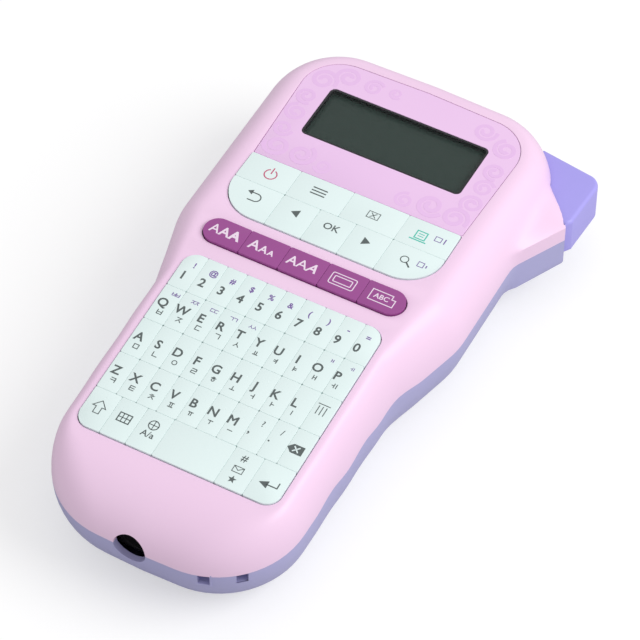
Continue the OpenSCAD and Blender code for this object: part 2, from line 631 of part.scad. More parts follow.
// ---- keys: each is a cap in its window, on a short stem over its dome ----
cap_bottom = -1.4;
stem_bottom = -2.3;
module keycap(x, y, w, proud = key_proud) {
    slab(cap_bottom, proud) intersection() {
        keyboard_outline();
        translate([x, y]) square([w - key_gap, row_pitch - key_gap], center = true);
    }
    translate([x, y, stem_bottom]) cylinder(r = 1.8, h = cap_bottom - stem_bottom + eps);
}
module key_row(r) { color(mint_white) on_keyboard() for (x = column_x) keycap(x, row_y[r], key_pitch); }
module bottom_key(i) { color(mint_white) on_keyboard() keycap(bottom_x(bottom_row[i]), row_y[4], bottom_row[i][1] * key_pitch); }
// The upper keys divide their panel between these edges
upper_split = 34.2;
upper_edges = [-40, -20, -0.5, 19.7, 40];
lower_edges = [-40, -20, -6.7, 6.4, 19.7, 40];
module upper_key(lo, hi, stem) {
    color(mint_white) on_screen() {
        slab(cap_bottom, key_proud) intersection() {
            upper_key_outline();
            block2d(lo + [key_gap, key_gap] / 2, hi - [key_gap, key_gap] / 2);
        }
        translate([stem.x, stem.y, stem_bottom]) cylinder(r = 1.8, h = cap_bottom - stem_bottom + eps);
    }
}
module top_key(i) { upper_key([upper_edges[i], upper_split], [upper_edges[i + 1], 60], upper_stems[i]); }
module low_key(i) { upper_key([lower_edges[i], 0], [lower_edges[i + 1], upper_split], upper_stems[i + 4]); }
module bar_key(i) {
    x = bar_keys[i].x;
    reach = 7.15;
    color(mauve) on_bar() {
        slab(cap_bottom, bar_proud) intersection() {
            bar_outline();
            block2d([x - reach + key_gap / 2 - (i == 0 ? 2 : 0), 0], [x + reach - key_gap / 2 + (i == 4 ? 2 : 0), 20]);
        }
        translate([x, bar_y, -1.9]) cylinder(r = 1.8, h = 1);
    }
}

front_case();
back_case();
back_cover();
display_panel();
lcd_window();
lcd_module();
display_board();
upper_key_mat();
key_mat();
main_board();
flex_cable();
dc_jack();
battery_cells();
battery_springs();
battery_plates();
mech_chassis();
motor();
motor_worm();
reduction_wheel();
idler_gear();
platen_roller();
platen_gear();
ribbon_spindle();
roller_holder();
holder_spring();
print_head();
gear_posts();
cutter_lever();
lever_pin();
lever_spring();
cutter_blade();
cassette_shell();
tape_roll();
label_tape();
tape_outlet();
case_screws();
key_row(0);  // digit_keys
key_row(1);  // upper_letter_keys
key_row(2);  // middle_letter_keys
key_row(3);  // lower_letter_keys
bottom_key(0);  // shift_key
bottom_key(1);  // mode_key
bottom_key(2);  // input_key
bottom_key(3);  // space_key
bottom_key(4);  // symbol_key
bottom_key(5);  // return_key
top_key(0);  // power_key
top_key(1);  // menu_key
top_key(2);  // clear_key
top_key(3);  // print_key
low_key(0);  // cancel_key
low_key(1);  // left_key
low_key(2);  // ok_key
low_key(3);  // right_key
low_key(4);  // preview_key
bar_key(0);  // font_key
bar_key(1);  // size_key
bar_key(2);  // style_key
bar_key(3);  // frame_key
bar_key(4);  // label_key
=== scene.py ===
# %% [markdown]
# # A handheld label maker, part by part
# This lesson dresses a working mechanical model in finished surfaces. The imported frame holds every
# mechanical part in its place, so each visible piece is built where the frame says it stands.

# %% Load the frame
import json
import math
import bpy
import bmesh
from mathutils import Matrix, Vector


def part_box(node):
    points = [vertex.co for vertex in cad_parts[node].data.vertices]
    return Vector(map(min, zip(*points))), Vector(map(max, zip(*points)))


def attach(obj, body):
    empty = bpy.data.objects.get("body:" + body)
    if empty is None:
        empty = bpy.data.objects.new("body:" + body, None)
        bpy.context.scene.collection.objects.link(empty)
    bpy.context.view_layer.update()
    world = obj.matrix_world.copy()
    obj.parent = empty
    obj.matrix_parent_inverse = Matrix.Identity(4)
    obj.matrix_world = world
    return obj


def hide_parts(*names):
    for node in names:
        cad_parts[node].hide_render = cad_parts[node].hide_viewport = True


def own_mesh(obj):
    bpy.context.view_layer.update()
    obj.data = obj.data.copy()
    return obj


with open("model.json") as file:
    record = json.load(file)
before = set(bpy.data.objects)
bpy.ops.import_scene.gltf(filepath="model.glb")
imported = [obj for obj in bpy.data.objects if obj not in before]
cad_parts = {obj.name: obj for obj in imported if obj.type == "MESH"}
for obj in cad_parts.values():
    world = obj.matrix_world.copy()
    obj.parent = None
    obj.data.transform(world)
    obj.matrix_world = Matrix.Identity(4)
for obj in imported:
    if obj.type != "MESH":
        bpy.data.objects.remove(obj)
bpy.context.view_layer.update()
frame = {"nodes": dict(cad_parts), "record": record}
nodes = frame["nodes"]

# %% [markdown]
# ## The camera
# The label maker lies flat and is seen from above and a little to its right. A long lens keeps the
# sides of the body nearly parallel, as a catalogue picture does. The camera is placed from a target
# point and a direction, which is easier to reason about than three angles.

# %% Camera
MM = 0.001
scene = bpy.context.scene
lens = bpy.data.cameras.new("camera")
lens.lens, lens.sensor_width = 202.5, 36
lens.clip_start, lens.clip_end = 0.05, 20
camera = bpy.data.objects.new("camera", lens)
scene.collection.objects.link(camera)
scene.camera = camera
aim, backward = Vector((0.0113, 0, 0.0359)), Vector((0.2948, -0.5502, 0.7813)).normalized()
camera.location = aim + backward * 1.1458
camera.rotation_mode = "QUATERNION"
camera.rotation_quaternion = (-backward).to_track_quat("-Z", "Y")
scene.view_settings.view_transform = "Standard"
print("camera at", [round(v, 3) for v in camera.location])

# %% [markdown]
# ## Colour and grain, shared by every plastic
# Moulded plastic is never one flat colour: the dye drifts a little over a palm's width, and the mould
# leaves a fine grain. Both are shader node groups with named inputs, built once. The group gives out
# colour, roughness and height only, and each material keeps its own Principled shader.

# %% Node groups
def colour(r, g, b):
    """A colour given as on a paint card, 0 to 255, turned into the linear values that shaders use."""
    shares = [v / 255 for v in (r, g, b)]
    return tuple(v / 12.92 if v <= 0.04 else ((v + 0.055) / 1.055) ** 2.4 for v in shares) + (1.0,)

def new_group(name, inputs, outputs):
    group = bpy.data.node_groups.new(name, "ShaderNodeTree")
    for label, kind, value in inputs:
        socket = group.interface.new_socket(label, in_out="INPUT", socket_type=kind)
        socket.default_value = value
    for label, kind in outputs:
        group.interface.new_socket(label, in_out="OUTPUT", socket_type=kind)
    start, end = group.nodes.new("NodeGroupInput"), group.nodes.new("NodeGroupOutput")
    return group, start, end

def noise(group, place, scale, detail=2.0, stretch=None):
    """Noise that reads Object coordinates, in cycles per metre times scale."""
    texture = group.nodes.new("ShaderNodeTexNoise")
    texture.inputs["Detail"].default_value = detail
    if stretch:
        mapping = group.nodes.new("ShaderNodeMapping")
        mapping.inputs["Scale"].default_value = stretch
        group.links.new(place.outputs["Object"], mapping.inputs["Vector"])
        group.links.new(mapping.outputs["Vector"], texture.inputs["Vector"])
    else:
        group.links.new(place.outputs["Object"], texture.inputs["Vector"])
    if hasattr(scale, "links") or hasattr(scale, "is_linked"):
        group.links.new(scale, texture.inputs["Scale"])
    else:
        texture.inputs["Scale"].default_value = scale
    return texture

def make_tone():
    group, start, end = new_group("Dye drift",
                                  [("Base", "NodeSocketColor", (1, 1, 1, 1)),
                                   ("Drift", "NodeSocketColor", (1, 1, 1, 1)),
        ("Scale", "NodeSocketFloat", 30.0), ("Roughness", "NodeSocketFloat", 0.4),
                                   ("Handling", "NodeSocketFloat", 0.05)],
        [("Color", "NodeSocketColor"), ("Roughness", "NodeSocketFloat")])
    place = group.nodes.new("ShaderNodeTexCoord")
    broad = noise(group, place, start.outputs["Scale"], 1.5)
    mix = group.nodes.new("ShaderNodeMix")
    mix.data_type = "RGBA"
    group.links.new(broad.outputs["Fac"], mix.inputs["Factor"])
    group.links.new(start.outputs["Base"], mix.inputs["A"])
    group.links.new(start.outputs["Drift"], mix.inputs["B"])
    group.links.new(mix.outputs["Result"], end.inputs["Color"])
    smear = noise(group, place, 140.0, 3.0)
    centred = group.nodes.new("ShaderNodeMath")
    centred.operation = "SUBTRACT"
    centred.inputs[1].default_value = 0.5
    group.links.new(smear.outputs["Fac"], centred.inputs[0])
    scaled = group.nodes.new("ShaderNodeMath")
    scaled.operation = "MULTIPLY_ADD"
    group.links.new(centred.outputs[0], scaled.inputs[0])
    group.links.new(start.outputs["Handling"], scaled.inputs[1])
    group.links.new(start.outputs["Roughness"], scaled.inputs[2])
    group.links.new(scaled.outputs[0], end.inputs["Roughness"])
    return group

def make_grain():
    group, start, end = new_group("Mould grain", [("Scale", "NodeSocketFloat", 2600.0)],
                                  [("Height", "NodeSocketFloat")])
    place = group.nodes.new("ShaderNodeTexCoord")
    fine = noise(group, place, start.outputs["Scale"], 1.0)
    group.links.new(fine.outputs["Fac"], end.inputs["Height"])
    return group

def make_brush():
    group, start, end = new_group("Drawn lines",
                                  [("Base", "NodeSocketColor", (1, 1, 1, 1)),
                                   ("Line", "NodeSocketColor", (0, 0, 0, 1))],
        [("Color", "NodeSocketColor"), ("Height", "NodeSocketFloat")])
    place = group.nodes.new("ShaderNodeTexCoord")
    lines = noise(group, place, 300.0, 3.0, (1.0, 18.0, 18.0))
    mix = group.nodes.new("ShaderNodeMix")
    mix.data_type = "RGBA"
    group.links.new(lines.outputs["Fac"], mix.inputs["Factor"])
    group.links.new(start.outputs["Base"], mix.inputs["A"])
    group.links.new(start.outputs["Line"], mix.inputs["B"])
    group.links.new(mix.outputs["Result"], end.inputs["Color"])
    group.links.new(lines.outputs["Fac"], end.inputs["Height"])
    return group

TONE, GRAIN, BRUSH = make_tone(), make_grain(), make_brush()
print("groups:", TONE.name, GRAIN.name, BRUSH.name)

# %% [markdown]
# ## Finishes
# The body is satin plastic in pink and two lavenders, the keys are a cool white, and the format keys
# are mauve. A short list of numbers describes each plastic: its colour, a second colour it drifts to,
# its roughness, and how deep its grain is. Metal parts inside share one drawn-line effect instead.

# %% Plastics and metals
def new_material(name):
    material = bpy.data.materials.new(name)
    material.use_nodes = True
    return material, material.node_tree, material.node_tree.nodes["Principled BSDF"]

def plastic(name, base, drift, rough=0.42, grain=0.02, grain_scale=2600.0, coat=0.0, scale=30.0,
            handling=0.06, specular=0.5):
    material, tree, shader = new_material(name)
    tone = tree.nodes.new("ShaderNodeGroup")
    tone.node_tree = TONE
    for label, value in (("Base", base), ("Drift", drift), ("Scale", scale), ("Roughness", rough),
                         ("Handling", handling)):
        tone.inputs[label].default_value = value
    tree.links.new(tone.outputs["Color"], shader.inputs["Base Color"])
    tree.links.new(tone.outputs["Roughness"], shader.inputs["Roughness"])
    skin = tree.nodes.new("ShaderNodeGroup")
    skin.node_tree = GRAIN
    skin.inputs["Scale"].default_value = grain_scale
    bump = tree.nodes.new("ShaderNodeBump")
    bump.inputs["Strength"].default_value = grain
    bump.inputs["Distance"].default_value = 0.0004
    tree.links.new(skin.outputs["Height"], bump.inputs["Height"])
    tree.links.new(bump.outputs["Normal"], shader.inputs["Normal"])
    shader.inputs["Coat Weight"].default_value = coat
    shader.inputs["Coat Roughness"].default_value = 0.08
    shader.inputs["Specular IOR Level"].default_value = specular
    return material

def metal(name, base, line, rough=0.3, depth=0.05):
    material, tree, shader = new_material(name)
    brush = tree.nodes.new("ShaderNodeGroup")
    brush.node_tree = BRUSH
    brush.inputs["Base"].default_value = base
    brush.inputs["Line"].default_value = line
    tree.links.new(brush.outputs["Color"], shader.inputs["Base Color"])
    bump = tree.nodes.new("ShaderNodeBump")
    bump.inputs["Strength"].default_value = depth
    bump.inputs["Distance"].default_value = 0.0002
    tree.links.new(brush.outputs["Height"], bump.inputs["Height"])
    tree.links.new(bump.outputs["Normal"], shader.inputs["Normal"])
    shader.inputs["Metallic"].default_value = 1.0
    shader.inputs["Roughness"].default_value = rough
    return material

PINK = plastic("pink shell", colour(247, 214, 241), colour(244, 209, 238), 0.36, 0.015)
LAVENDER = plastic("lavender shell", colour(178, 176, 219), colour(172, 169, 214), 0.38, 0.015)
VIOLET = plastic("violet lever", colour(172, 164, 240), colour(166, 158, 236), 0.33, 0.012)
FILM = plastic("display film", colour(243, 205, 243), colour(239, 199, 240), 0.2, 0.004, coat=0.3)
SCROLL = plastic("scroll print", colour(234, 190, 238), colour(238, 197, 240), 0.22, 0.004, coat=0.3)
WHITE = plastic("white keys", colour(228, 245, 244), colour(233, 247, 246), 0.42, 0.02)
MAUVE = plastic("mauve keys", colour(160, 78, 150), colour(152, 70, 142), 0.3, 0.01)
INK = plastic("grey legend ink", colour(84, 94, 94), colour(96, 104, 104), 0.5, 0.01)
PURPLE_INK = plastic("purple legend ink", colour(120, 92, 160), colour(130, 100, 170), 0.5, 0.01)
TEAL_INK = plastic("teal legend ink", colour(66, 190, 172), colour(80, 200, 180), 0.5, 0.01)
ROSE_INK = plastic("rose legend ink", colour(196, 84, 120), colour(206, 96, 130), 0.5, 0.01)
PALE_INK = plastic("pale legend ink", colour(244, 226, 242), colour(236, 216, 236), 0.5, 0.01)
BLACK = plastic("black plastic", colour(30, 30, 34), colour(38, 38, 42), 0.5, 0.04)
MILKY = plastic("gear plastic", colour(238, 232, 214), colour(228, 222, 204), 0.45, 0.02)
RUBBER = plastic("roller rubber", colour(34, 34, 36), colour(44, 44, 46), 0.75, 0.08)
SILICONE = plastic("silicone", colour(128, 130, 136), colour(118, 120, 126), 0.65, 0.05)
GREEN = plastic("circuit board", colour(22, 92, 58), colour(30, 104, 66), 0.35, 0.02, coat=0.4)
AMBER = plastic("flex film", colour(206, 138, 54), colour(190, 122, 44), 0.3, 0.01)
TAPE = plastic("tape", colour(240, 240, 238), colour(232, 232, 230), 0.55, 0.03)
CASSETTE = plastic("cassette plastic", colour(70, 72, 80), colour(78, 80, 88), 0.3, 0.02, coat=0.2)
SLEEVE = plastic("cell sleeve", colour(52, 58, 78), colour(60, 66, 88), 0.25, 0.01, coat=0.5)
STEEL = metal("drawn steel", colour(205, 206, 210), colour(176, 178, 184), 0.28)
BRIGHT = metal("nickel", colour(224, 222, 216), colour(204, 202, 196), 0.16, 0.02)
print("finishes:", len(bpy.data.materials))

# %% [markdown]
# ## Screen glass and liquid crystal
# The screen is a dark grey-green panel that sits two millimetres under a clear window. The window is
# thin, so it is mostly see-through with a gloss on top. The depth behind it darkens the edge a little, and
# a black line round the inside of the window adds painted shade there.

# %% Screen finishes
LENS, tree, shader = new_material("clear window")
shader.inputs["Base Color"].default_value = colour(40, 52, 48)
shader.inputs["Roughness"].default_value = 0.04
shader.inputs["Alpha"].default_value = 0.16
CRYSTAL, tree, shader = new_material("liquid crystal")
shader.inputs["Roughness"].default_value = 0.3
dots = tree.nodes.new("ShaderNodeTexChecker")
place = tree.nodes.new("ShaderNodeTexCoord")
tree.links.new(place.outputs["Object"], dots.inputs["Vector"])
dots.inputs["Scale"].default_value = 2600.0
dots.inputs["Color1"].default_value = colour(58, 75, 70)
dots.inputs["Color2"].default_value = colour(60, 77, 71)
tree.links.new(dots.outputs["Color"], shader.inputs["Base Color"])
print("screen:", LENS.name, CRYSTAL.name)

# %% [markdown]
# ## Small tools for meshes
# Every piece is finished the same way: its mesh is in metres with its object at the origin, its normals
# point outwards, soft curves are shaded smooth while real edges stay crisp, and it rides on a body.

# %% Mesh tools
def to_object(name, build):
    """Turn a bmesh drawn in millimetres into an object in metres."""
    bmesh.ops.recalc_face_normals(build, faces=build.faces)
    bmesh.ops.scale(build, vec=(MM, MM, MM), verts=build.verts)
    mesh = bpy.data.meshes.new(name)
    build.to_mesh(mesh)
    build.free()
    piece = bpy.data.objects.new(name, mesh)
    scene.collection.objects.link(piece)
    return piece

def settle(piece):
    """Replace an object's mesh by what its modifiers make of it."""
    bpy.context.view_layer.update()
    mesh = bpy.data.meshes.new_from_object(piece.evaluated_get(bpy.context.evaluated_depsgraph_get()))
    piece.modifiers.clear()
    piece.data = mesh
    return piece

def finish(piece, material, body, *stands_for, crease=30.0):
    piece.data.materials.clear()
    piece.data.materials.append(material)
    piece.data.shade_smooth()
    piece.data.set_sharp_from_angle(angle=math.radians(crease))
    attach(piece, body)
    if stands_for:
        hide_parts(*stands_for)
    return piece

def cut(piece, *cutters, operation="DIFFERENCE"):
    for tool in cutters:
        step = piece.modifiers.new("cut", "BOOLEAN")
        step.operation, step.solver, step.object = operation, "EXACT", tool
        settle(piece)
        bpy.data.objects.remove(tool)
    return piece

def prism(name, outline, low, high, tilt=Matrix(), top=0.0, foot=0.0, steps=3):
    """A flat outline raised between two heights, with its top and foot edges rounded."""
    build = bmesh.new()
    rims = [[build.verts.new(tilt @ Vector((x, y, z))) for x, y in outline] for z in (low, high)]
    count = len(outline)
    for rim in rims:
        build.faces.new(rim)
    for i in range(count):
        j = (i + 1) % count
        build.faces.new((rims[0][i], rims[0][j], rims[1][j], rims[1][i]))
    for rim, radius in zip(rims, (foot, top)):
        if radius:
            edges = [build.edges.get((rim[i], rim[(i + 1) % count])) for i in range(count)]
            bmesh.ops.bevel(build, geom=edges, offset=radius, offset_type="OFFSET", segments=steps,
                            profile=0.5,
                            affect="EDGES", clamp_overlap=True)
    return to_object(name, build)

def box(low, high, tilt=Matrix()):
    return prism("box", [(low[0], low[1]), (high[0], low[1]), (high[0], high[1]), (low[0], high[1])],
                 low[2], high[2], tilt)

def rod(x, y, radius, low, high, count=40):
    return prism("rod",
                 [(x + radius * math.cos(2 * math.pi * i / count),
                   y + radius * math.sin(2 * math.pi * i / count))
                         for i in range(count)], low, high)

def join(name, pieces):
    """Several meshes as one."""
    build = bmesh.new()
    for piece in pieces:
        build.from_mesh(piece.data)
        bpy.data.objects.remove(piece)
    mesh = bpy.data.meshes.new(name)
    build.to_mesh(mesh)
    build.free()
    whole = bpy.data.objects.new(name, mesh)
    scene.collection.objects.link(whole)
    return whole

print("mesh tools: prism, box, rod, cut, join, finish")

# %% [markdown]
# ## The face of the body
# The face is two gently sloping planes that meet at a flat ridge under the format keys. Everything that
# sits on the face is drawn flat and then tilted with its plane, so we keep one matrix for each plane.

# %% Planes of the face
RIDGE_Z, RIDGE_LOW, RIDGE_HIGH = 44.8, 4.0, 17.0
KEYBOARD_RISE, SCREEN_FALL = 0.051, 0.034

def plane(y, slope):
    return (Matrix.Translation((0, y,
                                RIDGE_Z)) @ Matrix.Rotation(math.atan(slope), 4,
                                                            "X") @ Matrix.Translation((0, -y, 0)))

ON_KEYBOARD, ON_SCREEN, ON_BAR = plane(RIDGE_LOW,
                                       KEYBOARD_RISE), plane(RIDGE_HIGH, -SCREEN_FALL), plane(0, 0)

def face_z(y):
    return RIDGE_Z + (KEYBOARD_RISE * (y - RIDGE_LOW)
                      if y < RIDGE_LOW else -SCREEN_FALL * (y - RIDGE_HIGH) if y > RIDGE_HIGH else 0)

print("ridge", RIDGE_Z, "mm; keyboard end", round(face_z(-78), 1), "mm; screen end",
      round(face_z(99), 1), "mm")

# %% [markdown]
# ## Two outlines and a skin between them
# The body is a skin stretched from a wide outline at the seam to a smaller outline at the face, along a
# quarter of an ellipse. Both outlines are drawn from the same four corners, so each point on one has its
# partner on the other. Writing the rule once gives the outside, the inside wall and the lower half.

# %% Outlines
END_BOW = 1.2
SEAM = [(0, 107.7, 0), (52, 107.7 - END_BOW, 27), (52, 18, 30), (43.4, -13, 34),
        (42.5, -99.3 + END_BOW, 30), (0, -99.3, 0)]
FACE = [(0, 99.4, 0), (41, 98.4, 16), (40.2, 16, 20), (37, -6, 24), (36.6, -77.8 + END_BOW / 2, 7),
        (0, -77.8, 0)]
STRAIGHTS, ARCS = (8, 30, 8, 54, 8), (18, 6, 8, 16)

def round_corner(a, b, c, radius, steps):
    a, b, c = Vector(a[:2]), Vector(b[:2]), Vector(c[:2])
    u, w = (a - b).normalized(), (c - b).normalized()
    half = u.angle(w) / 2
    middle = b + (u + w).normalized() * radius / math.sin(half)
    first, last = b + u * radius / math.tan(half), b + w * radius / math.tan(half)
    begin = math.atan2(first.y - middle.y, first.x - middle.x)
    sweep = (math.atan2(last.y - middle.y, last.x - middle.x) - begin + math.pi) % (2 * math.pi) - math.pi
    return [middle + radius * Vector((math.cos(begin + sweep * i / steps),
                                      math.sin(begin + sweep * i / steps))) for i in range(steps + 1)]

def half_outline(corners, straights=STRAIGHTS, arcs=ARCS):
    rounds = [round_corner(corners[i], corners[i + 1], corners[i + 2], corners[i + 1][2], arcs[i])
              for i in range(len(corners) - 2)]
    stops = [Vector(corners[0][:2])] + [p for r in rounds
                                        for p in (r[0], r[-1])] + [Vector(corners[-1][:2])]
    points = [stops[0]]
    for k, steps in enumerate(straights):
        a, b = stops[2 * k], stops[2 * k + 1]
        points += [a + (b - a) * i / steps for i in range(1, steps)]
        points += rounds[k] if k < len(rounds) else [b]
    return points

def mirrored(half):
    return half + [Vector((-p.x, p.y)) for p in half[-2:0:-1]]

def drawn_in(corners, t):
    """The same outline for the inside of the wall, t millimetres in."""
    last = len(corners) - 1
    moved = []
    for i, (x, y, r) in enumerate(corners):
        moved.append((x - t if 0 < i < last else x, y - t if i < 2 else y + t if i > last - 2 else y,
                      r + t if i == 3 else r - t * 0.5 if (corners is FACE and i == 4) else r))
    return moved

def split_at(pairs, which, level):
    """Add partners where outline number `which` crosses a height, so a crease can run through them."""
    out = []
    for k, pair in enumerate(pairs):
        out.append(pair)
        after = pairs[(k + 1) % len(pairs)]
        a, b = pair[which].y - level, after[which].y - level
        if a * b < 0 and min(abs(a), abs(b)) > 0.05:
            out.append([p + (q - p) * a / (a - b) for p, q in zip(pair, after)])
    return out

def partners(t):
    pairs = [list(p) for p in zip(mirrored(half_outline(drawn_in(SEAM, t))),
                                  mirrored(half_outline(drawn_in(FACE, t))))]
    for which, level in ((1, RIDGE_LOW), (1, RIDGE_HIGH), (0, 58.8), (0, 75.4)):
        pairs = split_at(pairs, which, level)
    return pairs

print("outline points:", len(partners(0)))

# %% [markdown]
# ## Scallops and the shoulder
# Along each side of the grip the seam rises in three soft waves, which give the fingers a hold, so a ring
# of seam points isn't flat and has to be closed with strips that run straight across. Beside
# the cutter lever the body swells into a shoulder: its wall stands straight up, and its top is a shallow
# scoop that runs back into the side. Both are small functions that bend the skin as it is made.

# %% Scallops and shoulder
SEAM_Z = 24.6
SHOULDER = [(54.5, 0, 0), (56.6, 0.2, 0.35), (58.8, 1.0, 1), (75.4, 10.0, 1), (79, 7.8, 1),
            (82.4, 4.75, 1), (86, 1.4, 1), (89, 0, 0)]

def seam_at(y):
    u = (2.5 - y) / 21.5
    return SEAM_Z + (1.7 * math.sin(math.pi * u) ** 2 if 0 < u < 3 else 0)

def shoulder_at(p):
    """How far the shoulder stands out at this seam point, and how much of it there is."""
    if p.x < 0 or not SHOULDER[0][0] < p.y < SHOULDER[-1][0]:
        return 0, 0
    for (y0, r0, m0), (y1, r1, m1) in zip(SHOULDER, SHOULDER[1:]):
        if y0 <= p.y <= y1:
            u = (p.y - y0) / (y1 - y0)
            return r0 + (r1 - r0) * u, m0 + (m1 - m0) * u

def swell(p, seam, z, gain):
    reach, share = shoulder_at(seam)
    return Vector((p.x + (seam.x - p.x) * share * gain + reach * gain,
                   p.y + (seam.y - p.y) * share * gain, z))

def upper_rings(t, levels, shoulder=False):
    rings = []
    for angle in levels:
        c, s = math.cos(math.radians(angle)), math.sin(math.radians(angle))
        ring = []
        for seam, face in partners(t):
            p, base = face + (seam - face) * c, seam_at(seam.y)
            z = base + (face_z(face.y) - t - base) * s
            gain = max(0, 1 - max(0, z - 31.3) / 5.2) ** 3.2 if shoulder else 0
            ring.append(swell(p, seam, z, gain) if gain else Vector((p.x, p.y, z)))
        rings.append(ring)
    return rings

def lower_rings(t, levels, shoulder=False):
    rings = []
    for angle in levels:
        c, s = math.cos(math.radians(angle)), math.sin(math.radians(angle))
        k, grip_k = 1 - 0.26 * (1 - c), 1 - 0.134 * (1 - c)
        ring = []
        for seam, _ in partners(t):
            p = Vector((seam.x * k, 50 + (seam.y - 50) * (grip_k if seam.y < 50 else k)))
            z = t + (seam_at(seam.y) - t) * (1 - s)
            gain = min(1, max(0, (z - 10.4) / 2.0)) if shoulder else 0
            ring.append(swell(p, seam, z, gain) if gain else Vector((p.x, p.y, z)))
        rings.append(ring)
    return rings

def skin(build, rings):
    rows = [[build.verts.new(p) for p in ring] for ring in rings]
    for a, b in zip(rows, rows[1:]):
        for i in range(len(a)):
            j = (i + 1) % len(a)
            build.faces.new((a[i], a[j], b[j], b[i]))
    return rows

def lid(build, row, *creases):
    """Close a ring with flat pieces that meet along the given heights in y."""
    levels = [-1000, *creases, 1000]
    for low, high in zip(levels, levels[1:]):
        build.faces.new([v for v in row if low - 0.02 <= v.co.y <= high + 0.02])

def strips_across(build, row):
    """Close a ring that waves up and down, with flat strips that run straight across the body."""
    for i in range(len(row) // 2):
        build.faces.new(list(dict.fromkeys([row[i], row[i + 1], row[-i - 1], row[-i]])))

def ring_wall(build, outer, inner):
    for i in range(len(outer)):
        j = (i + 1) % len(outer)
        build.faces.new((outer[i], outer[j], inner[j], inner[i]))

LEVELS = [0, 2, 5, 9, 13, 17, 20, 23, 26, 29, 33, 38, 44, 50, 57, 64, 71, 78, 84, 90]
WALL_LEVELS = [0, 15, 30, 45, 58, 70, 80, 90]
print("levels up the side:", len(LEVELS))

# %% [markdown]
# ## Rounding the rim of an opening
# A moulded edge is never razor sharp, and the thin highlight that runs along it is what makes an opening
# look real. After the openings are cut we look for their edges on the face and along the seam, and round
# only those.

# %% Rim rounding
def round_rims(piece, wanted, radius, steps=2, sharp=50.0):
    """Round the sharp edges whose two ends both pass the test `wanted`, given in millimetres."""
    build = bmesh.new()
    build.from_mesh(piece.data)
    bmesh.ops.remove_doubles(build, verts=build.verts, dist=0.00002)
    bmesh.ops.dissolve_degenerate(build, edges=build.edges, dist=0.00001)
    edges = [e for e in build.edges if len(e.link_faces) == 2 and e.calc_face_angle(0) > math.radians(sharp)
             and all(wanted(v.co / MM) for v in e.verts)]
    bmesh.ops.bevel(build, geom=edges, offset=radius * MM, offset_type="OFFSET", segments=steps,
                    profile=0.5,
                    affect="EDGES", clamp_overlap=True)
    build.to_mesh(piece.data)
    build.free()
    print(piece.name, "rounded", len(edges), "rim edges")
    return piece

def rounded(width, height, radius, steps=8, x=0.0, y=0.0):
    corners = ((1, 1, 0), (-1, 1, 90), (-1, -1, 180), (1, -1, 270))
    return [(x + sx * (width / 2 - radius) + radius * math.cos(math.radians(a + 90 * i / steps)),
             y + sy * (height / 2 - radius) + radius * math.sin(math.radians(a + 90 * i / steps)))
            for sx, sy, a in corners for i in range(steps + 1)]

# %% [markdown]
# ## Windows in the face
# Three key windows, the display recess and the screen opening are cut as simple prisms. The recess for
# the display has square lower corners and large upper ones, so its outline uses the corner rule again.

# %% Window outlines
BAR_Y, KEYBOARD_Y, SCREEN_Y = 10.25, -1 - 74.1 / 2, 73.3

def keyboard_outline(gap=0.0, steps=8):
    return rounded(71 + 2 * gap, 74.1 + 2 * gap, 5 + gap, steps, y=KEYBOARD_Y)

def bar_outline(gap=0.0, steps=12):
    return rounded(72.4 + 2 * gap, 10.1 + 2 * gap, 5.04 + gap, steps, y=BAR_Y)

def panel_outline(gap=0.0):
    return mirrored(half_outline([(0, 46 + gap, 0), (38.2 + gap, 46 + gap, 0.6),
                                  (38.4 + gap, 20 - gap, 13 + gap), (0, 20 - gap, 0)], (1, 1, 1), (3, 14)))

def display_outline(gap=0.0):
    return mirrored(half_outline([(0, 97.9 + gap, 0), (40.2 + gap, 96.6 + gap, 14 + gap),
                                  (38.2 + gap, 46.6 - gap, 0.6), (0, 46.6 - gap, 0)], (4, 1, 1), (16, 3)))

def tuples(outline):
    return [(p[0], p[1]) for p in outline]

LEVER_ROOM = [(47.6, 74), (57, 73.4), (61.2, 76.4), (72, 76.4), (72, 112), (36.6, 112), (36.6, 96),
              (36.4, 91), (40.6, 86.5)]
SCREWS = [(-29, -81), (29, -81), (-42, 6), (42, 6), (-42, 89.5), (10, 98.5)]
JACK_X, PIVOT = -2.0, (53.5, 77.0)

def jack_hole():
    hole = rod(0, 0, 5.7, -93.3, -101.3, 48)
    along_body = Matrix.Rotation(math.radians(90), 4, "X") @ Matrix.Scale(-1, 4, (0, 0, 1))
    hole.data.transform(Matrix.Translation((JACK_X * MM, 0, SEAM_Z * MM)) @ along_body)
    build = bmesh.new()
    build.from_mesh(hole.data)
    bmesh.ops.recalc_face_normals(build, faces=build.faces)
    build.to_mesh(hole.data)
    build.free()
    return hole

print("window outlines drawn; screw posts:", len(SCREWS))

# %% [markdown]
# ## The pink front shell
# The shell starts as a solid. A second solid, two millimetres smaller and pierced where the screw bosses
# stand, is taken out of it, so the wall and the bosses come out in one piece. The windows and the lever's
# room are then cut, and the rims rounded.

# %% Front shell
def upper_solid(name, t, levels, shoulder=False):
    build = bmesh.new()
    rows = skin(build, upper_rings(t, levels, shoulder))
    lid(build, rows[-1], RIDGE_LOW, RIDGE_HIGH)
    if t:
        sunk = [build.verts.new(v.co - Vector((0, 0, 1.5))) for v in rows[0]]
        ring_wall(build, sunk, rows[0])
        strips_across(build, sunk)
    else:
        strips_across(build, rows[0])
    return to_object(name, build)

